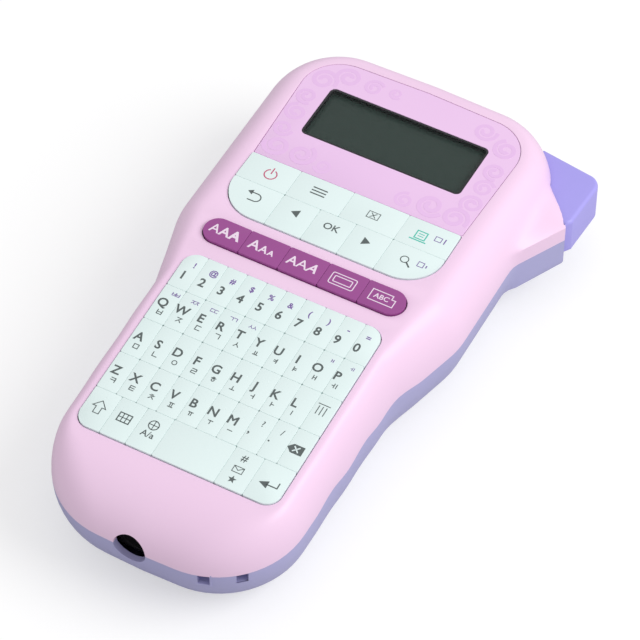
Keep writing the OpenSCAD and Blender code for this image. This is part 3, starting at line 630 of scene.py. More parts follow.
front_shell = upper_solid("front_shell", 0, LEVELS, shoulder=True)
inside = upper_solid("inside", 2, WALL_LEVELS)
cut(inside, *[rod(x, y, 2.8, SEAM_Z + 0.4, 50, 24) for x, y in SCREWS])
cut(front_shell, inside)
cut(front_shell,
    prism("window", tuples(keyboard_outline(0.3)), -6, 4, ON_KEYBOARD),
    prism("window", tuples(bar_outline(0.3)), -6, 4, ON_BAR),
    prism("window", tuples(panel_outline(0.3)), -6, 4, ON_SCREEN),
    prism("recess", tuples(display_outline(0.2)), -1, 4, ON_SCREEN),
    box((-30.4, SCREEN_Y - 12.65, -6), (30.4, SCREEN_Y + 12.65, 4), ON_SCREEN),
    prism("room", LEVER_ROOM, 15.65, 31.05), jack_hole(),
    join("screw holes", [rod(x, y, 1.25, SEAM_Z - 1, SEAM_Z + 8.5, 20) for x, y in SCREWS]))

round_rims(front_shell, lambda p: abs(p.z - face_z(p.y)) < 0.03, 0.3, 3)
finish(front_shell, PINK, "case", "front_case", crease=34)
print("front shell faces:", len(front_shell.data.polygons))

# %% [markdown]
# ## The lavender back shell
# The back shell is the visible band under the seam, with the shoulder's flank, the nose that the tape
# leaves through, and inside it the shelf that carries the mechanism and the ribs round the cells.

# %% Back shell
RIB_HALF, POST_LOW, POST_HIGH = 0.8, 12.5, 25.5
LOW_LEVELS = [0, 3, 7, 12, 17, 22, 26, 30, 36, 43, 51, 60, 68, 76, 83, 90]
def lower_solid(name, t, levels, shoulder=False, rise=0.0):
    build = bmesh.new()
    rows = skin(build, lower_rings(t, levels, shoulder))
    if rise:
        rim = [build.verts.new(v.co + Vector((0, 0, rise))) for v in rows[0]]
        ring_wall(build, rim, rows[0])
        strips_across(build, rim)
    else:
        strips_across(build, rows[0])
    build.faces.new(rows[-1])
    return to_object(name, build)

back_shell = lower_solid("back_shell", 0, LOW_LEVELS, shoulder=True)
hollow = lower_solid("hollow", 2, WALL_LEVELS, rise=1.0)
cut(hollow, box((-60, 31, 20), (60, 96, 21.6)), box((-60, -64, 14), (60, -7, 15.6)),
    box((-60, 29.4, 12.7), (60, 31, 21.6)),
    box((-29, -63.6, 4), (29, -62.2, 15)), box((-29, -9.6, 4), (29, -8.2, 15)),
    *[box((x - RIB_HALF, -110, POST_LOW), (x + RIB_HALF, y, POST_HIGH)) for x, y in SCREWS[:2]],
    *[rod(x, y, 3.4, POST_LOW, POST_HIGH, 24) for x, y in SCREWS])
cut(back_shell, hollow)
below = box((-70, -110, -1), (70, 86.2, 12.65))
cut(below, box((-29, -63.6, 4), (29, -8.2, 13.5)))
cut(back_shell, below)
cut(back_shell, prism("room", LEVER_ROOM, 15.65, 31.05), box((34, 90.5, 6), (41.5, 97, 16)),
    box((27.6, 50, 18), (46.5, 74, 30)),
    rod(41, 44, 3.6, 18, 26), rod(*PIVOT, 3.3, 12.9, 16), rod(*PIVOT, 1.28, 12.6, 20, 20),
    box((29.7, 95.9, 4.7), (34.3, 112, 19.5)), jack_hole(),
    *[rod(x, y, r, 18, 26, 24) for (x, y), r in (((22.72, 55.42), 3.2), ((10.88, 59.73), 3.2),
                                                 ((12.52, 42.83), 3.2))],
    *[rod(x, y, 2.7, -1, 16.5, 24) for x, y in SCREWS])
for x, y, turn, mouth in ((22.6, -96, 16, -1.0), (33.3, -91, 44, 0.9)):
    place = Matrix.Translation((x * MM, y * MM, (SEAM_Z - 2.2) * MM))
    place = place @ Matrix.Rotation(math.radians(turn), 4, "Z")
    slot = box((-1.9, -4.5, -2.2), (1.9, 4.5, 2.2))
    slot.data.transform(place)
    cut(back_shell, slot)
    pocket = box((-2.5, mouth, -2.8), (2.5, 5.1, 2.8))
    cut(pocket, box((-1.9, -3, -2.2), (1.9, 4.5, 2.2)))
    pocket.data.transform(place)
    pocket.name = "strap_pocket_" + str(turn)
    finish(pocket, LAVENDER, "case")
finish(back_shell, LAVENDER, "case", "back_case", crease=34)
print("back shell:", len(SCREWS), "posts, faces:", len(back_shell.data.polygons))

# %% [markdown]
# ## The lift-off back cover
# The cover is the rest of the lower skin, from the fine line round the sides down to the flat belly that
# the label maker lies on. It is thin walled, and lifts off to show the cells and the cassette.

# %% Back cover
back_lid = lower_solid("back_lid", 0, LOW_LEVELS)
cut(back_lid, lower_solid("hollow", 2, WALL_LEVELS, rise=1.0), box((-70, -110, 12.5), (70, 120, 60)),
    box((-70, 86.0, -1), (70, 120, 60)))
round_rims(back_lid, lambda p: p.z > 12.45, 0.25)
finish(back_lid, LAVENDER, "cover", "back_cover", crease=34)
print("cover faces:", len(back_lid.data.polygons))

# %% [markdown]
# ## The cutter lever
# The lever is a soft wedge with a broad flat top. Its top edge has a generous round and its foot a small
# one, so it is drawn as a prism with rounded rims, bored for its pin, with the peg that drives the blade.

# %% Cutter lever
tip = [(57.9 + 4.8 * math.cos(math.radians(a)), 80 + 4.8 * math.sin(math.radians(a)))
       for a in (-10, -5, 0, 5)]
nose = [(58.6 + 5 * math.cos(math.radians(a)), 95.6 + 5 * math.sin(math.radians(a)))
        for a in range(0, 91, 9)]
LEVER = [(50.6, 80), (51.5, 76.8),
         (61, 76.9)] + tip + nose + [(40.6, 103.2), (39.2, 100), (39, 95.4), (41.6, 92.2)]
lever = prism("lever", LEVER, 16, 30.7, top=2.0, foot=0.5, steps=6)
cut(lever, rod(39.2, 93.4, 1.5, 8, 17, 24), operation="UNION")
cut(lever, rod(*PIVOT, 1.25, 0, 50, 24))
finish(lever, VIOLET, "lever", "cutter_lever", crease=38)
print("lever faces:", len(lever.data.polygons))

# %% [markdown]
# ## Growing repeated things with Geometry Nodes
# Rows of keys, screws, springs and cells repeat one shape, so they are grown by small node trees. Each
# tree is built here in the script with named inputs, ends in Realize Instances and Set Material, and its
# result is turned into a plain mesh.

# %% Geometry node helpers
def new_tree(name, inputs):
    tree = bpy.data.node_groups.new(name, "GeometryNodeTree")
    tree.is_modifier = True
    for label, kind in inputs:
        tree.interface.new_socket(label, in_out="INPUT", socket_type=kind)
    tree.interface.new_socket("Geometry", in_out="OUTPUT", socket_type="NodeSocketGeometry")
    return tree, tree.nodes.new("NodeGroupInput"), tree.nodes.new("NodeGroupOutput")

def close_tree(tree, start, end, socket):
    """The last two steps that every tree shares."""
    real, paint = tree.nodes.new("GeometryNodeRealizeInstances"), tree.nodes.new("GeometryNodeSetMaterial")
    tree.links.new(socket, real.inputs["Geometry"])
    tree.links.new(real.outputs["Geometry"], paint.inputs["Geometry"])
    tree.links.new(start.outputs["Material"], paint.inputs["Material"])
    tree.links.new(paint.outputs["Geometry"], end.inputs["Geometry"])

def grow(name, tree, seed_mesh=None, **values):
    """Run a tree with these named inputs and keep the result as a plain mesh."""
    holder = bpy.data.objects.new(name, seed_mesh or bpy.data.meshes.new(name))
    scene.collection.objects.link(holder)
    step = holder.modifiers.new("grow", "NODES")
    step.node_group = tree
    sockets = {s.name: s.identifier for s in tree.interface.items_tree if s.in_out == "INPUT"}
    for label, value in values.items():
        step[sockets[label.replace("_", " ")]] = value
    return settle(holder)

def make_row_tree():
    tree, start, end = new_tree("Row of caps",
                                [("Cap", "NodeSocketObject"), ("Count", "NodeSocketInt"),
                                 ("Pitch", "NodeSocketFloat"),
                                               ("First", "NodeSocketFloat"),
                                 ("Material", "NodeSocketMaterial")])
    row, info, copy = (tree.nodes.new(k) for k in ("GeometryNodeMeshLine", "GeometryNodeObjectInfo",
                                                   "GeometryNodeInstanceOnPoints"))
    first, pitch = tree.nodes.new("ShaderNodeCombineXYZ"), tree.nodes.new("ShaderNodeCombineXYZ")
    for source, target in (("First", first), ("Pitch", pitch)):
        tree.links.new(start.outputs[source], target.inputs["X"])
    tree.links.new(start.outputs["Count"], row.inputs["Count"])
    tree.links.new(first.outputs[0], row.inputs["Start Location"])
    tree.links.new(pitch.outputs[0], row.inputs["Offset"])
    tree.links.new(start.outputs["Cap"], info.inputs["Object"])
    tree.links.new(row.outputs["Mesh"], copy.inputs["Points"])
    tree.links.new(info.outputs["Geometry"], copy.inputs["Instance"])
    close_tree(tree, start, end, copy.outputs["Instances"])
    return tree

ROW = make_row_tree()
print("tree:", ROW.name)

# %% [markdown]
# ## Key caps
# A white key is a thin cap with softly rounded edges, on a stem. Neighbours stand a hair apart, so the
# whole keyboard reads as one white field with fine lines. Corner keys follow the window's round corners.

# %% Key caps
PITCH, ROW_PITCH, KEY_GAP, PROUD = 7.1, 14.82, 0.06, 0.5
ROW_Y = [-1 - (r + 0.5) * ROW_PITCH for r in range(5)]
COLUMN_X = [(c - 4.5) * PITCH for c in range(10)]

def clip(outline, x0, x1, y0, y1):
    """The part of a convex outline inside a rectangle."""
    for axis, limit, sign in ((0, x0, 1), (0, x1, -1), (1, y0, 1), (1, y1, -1)):
        kept = []
        for k, p in enumerate(outline):
            q = outline[k - 1]
            dp, dq = (p[axis] - limit) * sign, (q[axis] - limit) * sign
            if dp * dq < 0:
                u = dq / (dq - dp)
                kept.append((q[0] + (p[0] - q[0]) * u, q[1] + (p[1] - q[1]) * u))
            if dp >= 0:
                kept.append(p)
        outline = kept
    return outline

def soften(outline, radius=0.5, steps=3):
    """Round the sharp corners of an outline that turn by more than 60 degrees."""
    out = []
    for k, p in enumerate(outline):
        a, b, c = Vector(outline[k - 1]), Vector(p), Vector(outline[(k + 1) % len(outline)])
        u, w = (a - b), (c - b)
        if min(u.length, w.length) > radius * 1.2 and u.angle(w) < math.radians(120):
            out += [tuple(q) for q in round_corner(a, b, c, radius, steps)]
        else:
            out.append(p)
    return out

def cap(name, outline, tilt, proud=PROUD, foot=-1.4, radius=0.08):
    return prism(name, soften(outline), foot, proud, tilt, top=radius, steps=3)

def stem(x, y, tilt, low=-2.3, high=-1.39):
    ring = [(x + 1.8 * math.cos(math.pi * i / 12), y + 1.8 * math.sin(math.pi * i / 12)) for i in range(24)]
    return prism("stem", ring, low, high, tilt)

def key_cell(x0, x1, y0, y1, window, tilt, stem_at, **shape):
    g = KEY_GAP / 2
    return join("key", [cap("cap", clip(window, x0 + g, x1 - g, y0 + g, y1 - g), tilt, **shape),
                        stem(*stem_at, tilt)])

window = tuples(keyboard_outline(0, 6))
for row, node in enumerate(("digit_keys", "upper_letter_keys", "middle_letter_keys", "lower_letter_keys")):
    y0, y1 = ROW_Y[row] - ROW_PITCH / 2, ROW_Y[row] + ROW_PITCH / 2
    plain = key_cell(-PITCH / 2, PITCH / 2, y0, y1, [(9, -80), (9, 5), (-9, 5), (-9, -80)], ON_KEYBOARD,
                     (0, ROW_Y[row]))
    first, count = (1, 8) if row == 0 else (0, 10)
    keys = [grow("row", ROW, Cap=plain, Count=count, Pitch=PITCH * MM, First=COLUMN_X[first] * MM,
                 Material=WHITE)]
    bpy.data.objects.remove(plain)
    if row == 0:
        keys += [key_cell(x - PITCH / 2, x + PITCH / 2, y0, y1, window, ON_KEYBOARD, (x, ROW_Y[0]))
                 for x in (COLUMN_X[0], COLUMN_X[9])]
    finish(join(node.replace("keys", "caps"), keys), WHITE, node, node)
print("character keys: 4 rows of 10")

# %% [markdown]
# ## The keys of unequal width
# The bottom row and the block under the screen have keys of many widths, so each is written as a row of
# a table: its name and where it starts and ends. The same function that cut the corner keys out of the
# window outline cuts these, which is why their outer corners follow the window without extra work.

# %% Bottom row and upper keys
BOTTOM = [("shift", 0, 1.34), ("mode", 1.34, 1.3), ("input", 2.64, 1.32), ("space", 3.96, 3.09),
          ("symbol", 7.05, 1.4), ("return", 8.45, 1.55)]
for name, left, wide in BOTTOM:
    x0, x1 = (left - 5) * PITCH, (left + wide - 5) * PITCH
    key = key_cell(x0, x1, ROW_Y[4] - ROW_PITCH / 2, ROW_Y[4] + ROW_PITCH / 2, window, ON_KEYBOARD,
                   ((x0 + x1) / 2, ROW_Y[4]))
    key.name = name + "_cap"
    finish(key, WHITE, name + "_key", name + "_key")

SPLIT = 34.2
UPPER = [("power", -40, -20, SPLIT, 60, (-28.6, 40)), ("menu", -20, -0.5, SPLIT, 60, (-10.3, 40)),
         ("clear", -0.5, 19.7, SPLIT, 60, (9.5, 40)),
         ("print", 19.7, 40, SPLIT, 60, (28.9, 40)), ("cancel", -40, -20, 0, SPLIT, (-28, 27.8)),
         ("left", -20, -6.7, 0, SPLIT, (-13.3, 27.2)),
         ("ok", -6.7, 6.4, 0, SPLIT, (-0.2, 27.2)), ("right", 6.4, 19.7, 0, SPLIT, (12.9, 27.2)),
         ("preview", 19.7, 40, 0, SPLIT, (28, 27.8))]
for name, x0, x1, y0, y1, foot_at in UPPER:
    key = key_cell(x0, x1, y0, y1, tuples(panel_outline()), ON_SCREEN, foot_at)
    key.name = name + "_cap"
    finish(key, WHITE, name + "_key", name + "_key")
print("bottom row:", len(BOTTOM), "keys; upper keys:", len(UPPER))

# %% [markdown]
# ## Format keys
# The five mauve keys share one bar with round ends and stand higher than the white ones. The first and
# the last cell are made wider than the bar itself, so that they keep the whole round end.

# %% Format keys
BAR_KEYS = ["font", "size", "style", "frame", "label"]
for i, name in enumerate(BAR_KEYS):
    x = (i - 2) * 14.3
    key = join(name + "_cap",
               [cap("cap", clip(tuples(bar_outline(-0.05)), x - 7.11 - (2 if i == 0 else 0),
                                x + 7.11 + (2 if i == 4 else 0), 0, 20),
                                   ON_BAR, proud=0.97, radius=0.14), stem(x, BAR_Y, ON_BAR, -1.9)])
    finish(key, MAUVE, name + "_key", name + "_key")
print("keys made:", 40 + len(BOTTOM) + len(UPPER) + len(BAR_KEYS))

# %% [markdown]
# ## Legends
# The legends are ink, so they are made as very thin shapes that stand a few hundredths of a millimetre
# above the keys and move with them. Letters come from Blender's own typeface, turned into meshes.
# Icons and the small second legends are drawn as strokes: a line with a width, laid on the key.

# %% Legend tools
INK_LOW, INK_HIGH = -0.03, 0.03

def type_mesh(text, height, weight):
    """Letters as a mesh, `height` mm tall. A bevel of `weight` makes them bold; then they are flattened."""
    data = bpy.data.curves.new("type", "FONT")
    data.body, data.size, data.align_x, data.align_y = text, height / 0.7, "CENTER", "CENTER"
    data.extrude, data.bevel_depth, data.bevel_resolution, data.resolution_u = 0.01, weight, 0, 3
    holder = bpy.data.objects.new("type", data)
    scene.collection.objects.link(holder)
    bpy.context.view_layer.update()
    mesh = bpy.data.meshes.new_from_object(holder.evaluated_get(bpy.context.evaluated_depsgraph_get()))
    bpy.data.objects.remove(holder)
    mesh.transform(Matrix.Scale((INK_HIGH - INK_LOW) / 2 / (0.01 + weight), 4, (0, 0, 1)))
    return mesh

class Print:
    """Collects everything printed in one ink on one body."""
    def __init__(self, name, tilt, top):
        self.name, self.tilt, self.top, self.build = name, tilt, top, bmesh.new()

    def type(self, text, x, y, height, weight=0.04, lean=0.0, wide=1.0):
        mesh = type_mesh(text, height, weight)
        shear = Matrix(((wide, lean, 0, 0), (0, 1, 0, 0), (0, 0, 1, 0), (0, 0, 0, 1)))
        mesh.transform(self.tilt @ Matrix.Translation((x, y, self.top + (INK_HIGH + INK_LOW) / 2)) @ shear)
        self.build.from_mesh(mesh)
        bpy.data.meshes.remove(mesh)

    def solid(self, outline):
        rims = [[self.build.verts.new(self.tilt @ Vector((x, y, self.top + z))) for x, y in outline]
                for z in (INK_LOW, INK_HIGH)]
        for rim in rims:
            self.build.faces.new(rim)
        for i in range(len(outline)):
            j = (i + 1) % len(outline)
            self.build.faces.new((rims[0][i], rims[0][j], rims[1][j], rims[1][i]))

    def line(self, points, width, closed=False):
        """A stroke of even width through the points, mitred at its corners."""
        points = [Vector(p) for p in points]
        count = len(points)
        left, right = [], []
        for i, p in enumerate(points):
            before = points[i - 1] if closed or i else None
            after = points[(i + 1) % count] if closed or i < count - 1 else None
            u = (p - before).normalized() if before is not None else (after - p).normalized()
            w = (after - p).normalized() if after is not None else u
            side = Vector((-(u + w).y, (u + w).x))
            side = side.normalized() if side.length > 1e-6 else Vector((-u.y, u.x))
            reach = width / 2 / max(0.4, side.dot(Vector((-w.y, w.x))))
            end = Vector((0, 0)) if closed or 0 < i < count - 1 else (u if i else -u) * width * 0.35
            left.append(p + end + side * reach)
            right.append(p + end - side * reach)
        for i in range(count if closed else count - 1):
            j = (i + 1) % count
            self.solid([right[i], right[j], left[j], left[i]])

    def ring(self, x, y, radius, width, begin=0, sweep=360, steps=20):
        full = sweep >= 360
        arc = [(x + radius * math.cos(math.radians(begin + sweep * i / steps)),
                y + radius * math.sin(math.radians(begin + sweep * i / steps)))
               for i in range(steps + (0 if full else 1))]
        self.line(arc, width, closed=full)

    def done(self, ink, body):
        piece = to_object(self.name, self.build)
        return finish(piece, ink, body)

print("legend tools: ink", INK_HIGH - INK_LOW, "mm thick")

# %% [markdown]
# ## Character legends
# The keyboard has the usual rows of digits and letters, each letter with a small second legend under it
# for a second alphabet. That alphabet's letters are built from straight strokes and rings, so a short
# table of strokes on a unit square draws all of them.

# %% Character legends
A, B, C, D = (0, 1), (1, 1), (0, 0), (1, 0)
STROKES = {
    "b": [[A, C, D, B], [(0, 0.5), (1, 0.5)]], "j": [[A, B, (0.5, 0.55), C], [(0.5, 0.55), D]],
           "d": [[B, A, C, D]],
    "g": [[A, B, D]], "s": [[(0.5, 1), (0.5, 0.6), C], [(0.5, 0.6), D]],
           "yo": [[(0, 0), (1, 0)], [(0.3, 0), (0.3, 0.8)], [(0.7, 0), (0.7, 0.8)]],
    "yeo": [[(0.8, 0), (0.8, 1)], [(0.8, 0.7), (0.2, 0.7)], [(0.8, 0.35), (0.2, 0.35)]],
           "ya": [[(0.2, 0), (0.2, 1)], [(0.2, 0.7), (0.8, 0.7)], [(0.2, 0.35), (0.8, 0.35)]],
    "ae": [[(0.2, 0), (0.2, 1)], [(0.2, 0.5), (0.8, 0.5)], [(0.8, 0), (0.8, 1)]],
           "e": [[(0.5, 0), (0.5, 1)], [(0, 0.5), (0.5, 0.5)], [(1, 0), (1, 1)]],
    "m": [[A, B, D, C, A]], "n": [[A, C, D]], "o": ["ring"], "r": [[A, B, (1, 0.5), (0, 0.5), C, D]],
           "h": [[(0.3, 1), (0.7, 1)], [(0, 0.78), (1, 0.78)], "low ring"],
    "oo": [[(0, 0), (1, 0)], [(0.5, 0), (0.5, 0.8)]],
           "eo": [[(0.8, 0), (0.8, 1)], [(0.8, 0.5), (0.2, 0.5)]],
           "a": [[(0.3, 0), (0.3, 1)], [(0.3, 0.5), (0.9, 0.5)]],
    "i": [[(0.5, 0), (0.5, 1)]], "k": [[A, B, D], [(0, 0.5), (1, 0.5)]],
           "t": [[B, A, C, D], [(0, 0.5), (1, 0.5)]],
    "ch": [[(0.3, 1), (0.7, 1)], [(0, 0.75), (1, 0.75), (0.5, 0.45), C], [(0.5, 0.45), D]],
           "p": [[A, B], [C, D], [(0.3, 0), (0.3, 1)], [(0.7, 0), (0.7, 1)]],
    "yu": [[(0, 0.8), (1, 0.8)], [(0.3, 0.8), (0.3, 0)], [(0.7, 0.8), (0.7, 0)]],
           "u": [[(0, 0.8), (1, 0.8)], [(0.5, 0.8), (0.5, 0)]], "eu": [[(0, 0.5), (1, 0.5)]]}

LEGEND_X, LEGEND_PITCH = -32.9, 6.95

def small_legend(ink, name, x, y, size=1.5, width=0.26):
    for stroke in STROKES[name]:
        if stroke == "ring":
            ink.ring(x, y, size / 2, width, steps=14)
        elif stroke == "low ring":
            ink.ring(x, y - size * 0.18, size * 0.3, width, steps=12)
        else:
            closed = stroke[0] == stroke[-1]
            points = [(x + (px - 0.5) * size, y + (py - 0.5) * size) for px,
                      py in (stroke[:-1] if closed else stroke)]
            ink.line(points, width, closed=closed)

LETTER_ROWS = [("upper_letter_keys", "QWERTYUIOP", -22.9, "b j d g s yo yeo ya ae e"),
               ("middle_letter_keys", "ASDFGHJKL", -37.9, "m n o r h oo eo a i"),
               ("lower_letter_keys", "ZXCVBNM", -52.4, "k t ch p yu u eu")]
for node, letters, y, second in LETTER_ROWS:
    ink = Print(node.replace("keys", "legends"), ON_KEYBOARD, PROUD)
    for i, (letter, small) in enumerate(zip(letters, second.split())):
        x = LEGEND_X + i * LEGEND_PITCH
        ink.type(letter, x, y, 3.2, 0.12)
        small_legend(ink, small, x + 0.9, y - 3.7, 1.6, 0.3)
    if node == "lower_letter_keys":
        ink.type(",", 15.1, -52.8, 3.2, 0.06)
        ink.type("?", 17.9, -49.4, 2.2, 0.03)
        ink.type(".", 22.2, -52.8, 3.2, 0.06)
        ink.type("/", 24.8, -49.6, 2.2, 0.03)
        x, y = 31.2, -53.0
        ink.solid([(x - 2.9, y), (x - 1.2, y - 1.7), (x + 2.6, y - 1.7), (x + 2.6, y + 1.7),
                   (x - 1.2, y + 1.7)])
    if node == "middle_letter_keys":
        for k in (-1, 0, 1):
            ink.line([(31.4 + k * 1.3, -38.4), (31.4 + k * 1.3, -35.2)], 0.3)
        ink.line([(29.4, -34.4), (33.4, -34.4)], 0.3)
    ink.done(INK, node)
knock_out = Print("erase_cross", ON_KEYBOARD, PROUD + 0.02)
knock_out.line([(30.5, -53.9), (32.3, -52.1)], 0.42)
knock_out.line([(30.5, -52.1), (32.3, -53.9)], 0.42)
knock_out.done(WHITE, "lower_letter_keys")
digits, shifted = Print("digit_legends", ON_KEYBOARD, PROUD), Print("shift_legends", ON_KEYBOARD, PROUD)
for i, (digit, mark) in enumerate(zip("1234567890", "!@#$%&()-=")):
    digits.type(digit, LEGEND_X + 0.3 + i * LEGEND_PITCH, -10.6, 3.2, 0.12)
    shifted.type(mark, LEGEND_X + 2.0 + i * LEGEND_PITCH, -5.7, 2.1, 0.08)
digits.done(INK, "digit_keys")
shifted.done(PURPLE_INK, "digit_keys")
doubled = Print("doubled_legends", ON_KEYBOARD, PROUD)
for i, small in enumerate("b j d g s yo yeo ya ae e".split()):
    if i < 5:
        small_legend(doubled, small, LEGEND_X + 1.6 + i * LEGEND_PITCH, -18.4, 1.1, 0.22)
    if i < 5 or i > 7:
        small_legend(doubled, small, LEGEND_X + 3.0 + i * LEGEND_PITCH, -18.4, 1.1, 0.22)
doubled.done(PURPLE_INK, "upper_letter_keys")
print("letters printed:", sum(len(r[1]) for r in LETTER_ROWS), "and 10 digits")

# %% [markdown]
# ## Function icons
# The remaining keys carry icons. All are plain, widely used signs drawn from strokes: an arrow for shift,
# a globe for the input mode, a hash, an envelope and a star for symbols, and the return arrow.

# %% Icons on the bottom row
def icon(name, body, ink, tilt=ON_KEYBOARD, top=PROUD):
    sheet = Print(name, tilt, top)
    ICONS.append((sheet, ink, body))
    return sheet

ICONS = []
p = icon("shift_icon", "shift_key", INK)
p.line([(-32.9, -66.9), (-30.6, -64.4), (-28.3, -66.9), (-29.6, -66.9), (-29.6, -69.4), (-31.6, -69.4),
        (-31.6, -66.9)], 0.3, closed=True)
p = icon("mode_icon", "mode_key", INK)
p.line([(-23.6, -68.6), (-23.6, -65.4), (-19.4, -65.4), (-19.4, -68.6)], 0.4, closed=True)
for x in (-22.2, -20.8):
    p.line([(x, -68.6), (x, -65.4)], 0.3)
p.line([(-23.6, -67), (-19.4, -67)], 0.3)
p = icon("input_icon", "input_key", INK)
p.ring(-12, -65.2, 1.7, 0.35)
p.line([(-12, -66.9), (-12, -63.5)], 0.28)
p.line([(-13.7, -65.2), (-10.3, -65.2)], 0.28)
p.type("A/a", -12.2, -69.0, 2.3, 0.05)
p = icon("symbol_icons", "symbol_key", INK)
p.type("#", 19.0, -63.2, 2.5, 0.05)
p.line([(17.4, -68.8), (17.4, -66.6), (20.8, -66.6), (20.8, -68.8)], 0.26, closed=True)
p.line([(17.4, -66.6), (19.1, -67.9), (20.8, -66.6)], 0.26)
star = [(19.1 + r * math.cos(math.radians(90 + 36 * k)),
         -71.6 + r * math.sin(math.radians(90 + 36 * k))) for k, r in enumerate([1.5, 0.62] * 5)]
p.solid(star)
p = icon("return_icon", "return_key", INK)
p.line([(33.0, -66.4), (33.0, -68.4), (29.4, -68.4)], 0.42)
p.solid([(29.8, -67.0), (26.7, -68.4), (29.8, -69.8)])
print("icons so far, bottom row:", len(ICONS))

# %% [markdown]
# ## Icons under the screen
# The signs on these keys are the ones found on any small machine with a screen: power, menu, back, the
# two arrows, delete, print and a magnifier. The colours help the hand: rose for power, teal for print.

# %% Icons on the upper keys
UP = dict(tilt=ON_SCREEN)
p = icon("power_icon", "power_key", ROSE_INK, **UP)
p.ring(-28.3, 39.8, 2.1, 0.42, 118, 304)
p.line([(-28.3, 40.2), (-28.3, 42.7)], 0.42)
p = icon("menu_icon", "menu_key", INK, **UP)
for k in (-1.3, 0, 1.3):
    p.line([(-13.3, 40.6 + k), (-8.4, 40.6 + k)], 0.48)
p = icon("cancel_icon", "cancel_key", INK, **UP)
p.ring(-27.6, 28.5, 1.7, 0.42, -90, 180)
p.line([(-27.6, 30.2), (-29.8, 30.2)], 0.42)
p.line([(-27.6, 26.8), (-29.8, 26.8)], 0.42)
p.solid([(-29.5, 31.3), (-31.3, 30.2), (-29.5, 29.1)])
p = icon("left_icon", "left_key", INK, **UP)
p.solid([(-12.0, 27.2), (-12.0, 30.6), (-14.8, 28.9)])
p = icon("ok_icon", "ok_key", INK, **UP)
p.type("OK", -0.1, 28.8, 2.7, 0.06)
p = icon("clear_icon", "clear_key", INK, **UP)
p.line([(7.4, 38.7), (7.4, 41.5), (11.4, 41.5), (11.4, 38.7)], 0.26, closed=True)
p.line([(8.5, 39.2), (10.3, 41.0)], 0.3)
p.line([(8.5, 41.0), (10.3, 39.2)], 0.3)
p = icon("right_icon", "right_key", INK, **UP)
p.solid([(11.3, 27.2), (14.1, 28.9), (11.3, 30.6)])
p = icon("print_icon", "print_key", TEAL_INK, **UP)
p.line([(25.0, 38.2), (25.0, 41.5), (28.6, 41.5), (28.6, 38.2)], 0.4, closed=True)
p.line([(23.8, 37.4), (29.4, 37.4)], 0.45)
for k in (0, 1):
    p.line([(25.9, 39.4 + k), (27.7, 39.4 + k)], 0.3)
p = icon("copies_icon", "print_key", PURPLE_INK, **UP)
p.line([(31.4, 40.0), (31.4, 41.9), (33.6, 41.9), (33.6, 40.0)], 0.26, closed=True)
p.line([(34.8, 40.0), (34.8, 42.0)], 0.4)
p = icon("preview_icon", "preview_key", INK, **UP)
p.ring(26.8, 28.3, 1.35, 0.34)
p.line([(27.9, 27.3), (29.4, 25.9)], 0.55)
p = icon("page_icon", "preview_key", PURPLE_INK, **UP)
p.line([(31.4, 27.7), (31.4, 29.7), (33.4, 29.7), (33.4, 27.7)], 0.26, closed=True)
p.line([(34.4, 28.2), (34.4, 29.0)], 0.4)
print("icons so far, with the upper keys:", len(ICONS))

# %% [markdown]
# ## Icons on the format keys
# The first three format keys show what they change by doing it to the letter A: three weights, three
# sizes, three styles. The last two show a frame and a label. Each sheet of print belongs to one key, so
# it moves with that key when it is pressed.

# %% Icons on the format keys
RAISED = dict(tilt=ON_BAR, top=0.97)
p = icon("font_icon", "font_key", PALE_INK, **RAISED)
for k, (dx, weight) in enumerate(((-3.6, 0.04), (0, 0.12), (3.7, 0.2))):
    p.type("A", -28.9 + dx, BAR_Y + 0.1, 3.6, weight)
p = icon("size_icon", "size_key", PALE_INK, **RAISED)
for dx, height in ((-3.4, 3.8), (0.1, 2.9), (2.9, 2.1)):
    p.type("A", -14.6 + dx, BAR_Y - (3.8 - height) * 0.45, height, 0.09)
p = icon("style_icon", "style_key", PALE_INK, **RAISED)
p.type("A", -4.2, BAR_Y, 3.6, 0.08)
p.type("A", -0.6, BAR_Y, 3.6, 0.02, wide=1.1)
p.type("A", 3.2, BAR_Y, 3.6, 0.1, lean=0.25)
p = icon("frame_icon", "frame_key", PALE_INK, **RAISED)
p.line(rounded(8.6, 4.6, 0.6, 3, 14.0, BAR_Y), 0.34, closed=True)
p.line(rounded(6.2, 2.4, 0.3, 3, 14.0, BAR_Y), 0.34, closed=True)
p = icon("label_icon", "label_key", PALE_INK, **RAISED)
p.line([(24.0, 8.0), (24.0, 12.4), (31.2, 12.4), (31.2, 10.9), (32.6, 10.9), (32.6, 8.0)], 0.34,
       closed=True)
p.type("ABC", 27.9, 10.2, 1.9, 0.04)
for sheet, ink, body in ICONS:
    sheet.done(ink, body)
print("icons:", len(ICONS))

# %% [markdown]
# ## The display panel and its print
# A thin glossy film panel fills the recess round the screen. It is printed with a soft scroll pattern, a
# shade deeper than the film. A spiral has a simple rule, so a node tree draws one ribbon from a spiral
# curve and copies it to a list of places, each with its own turn and size.

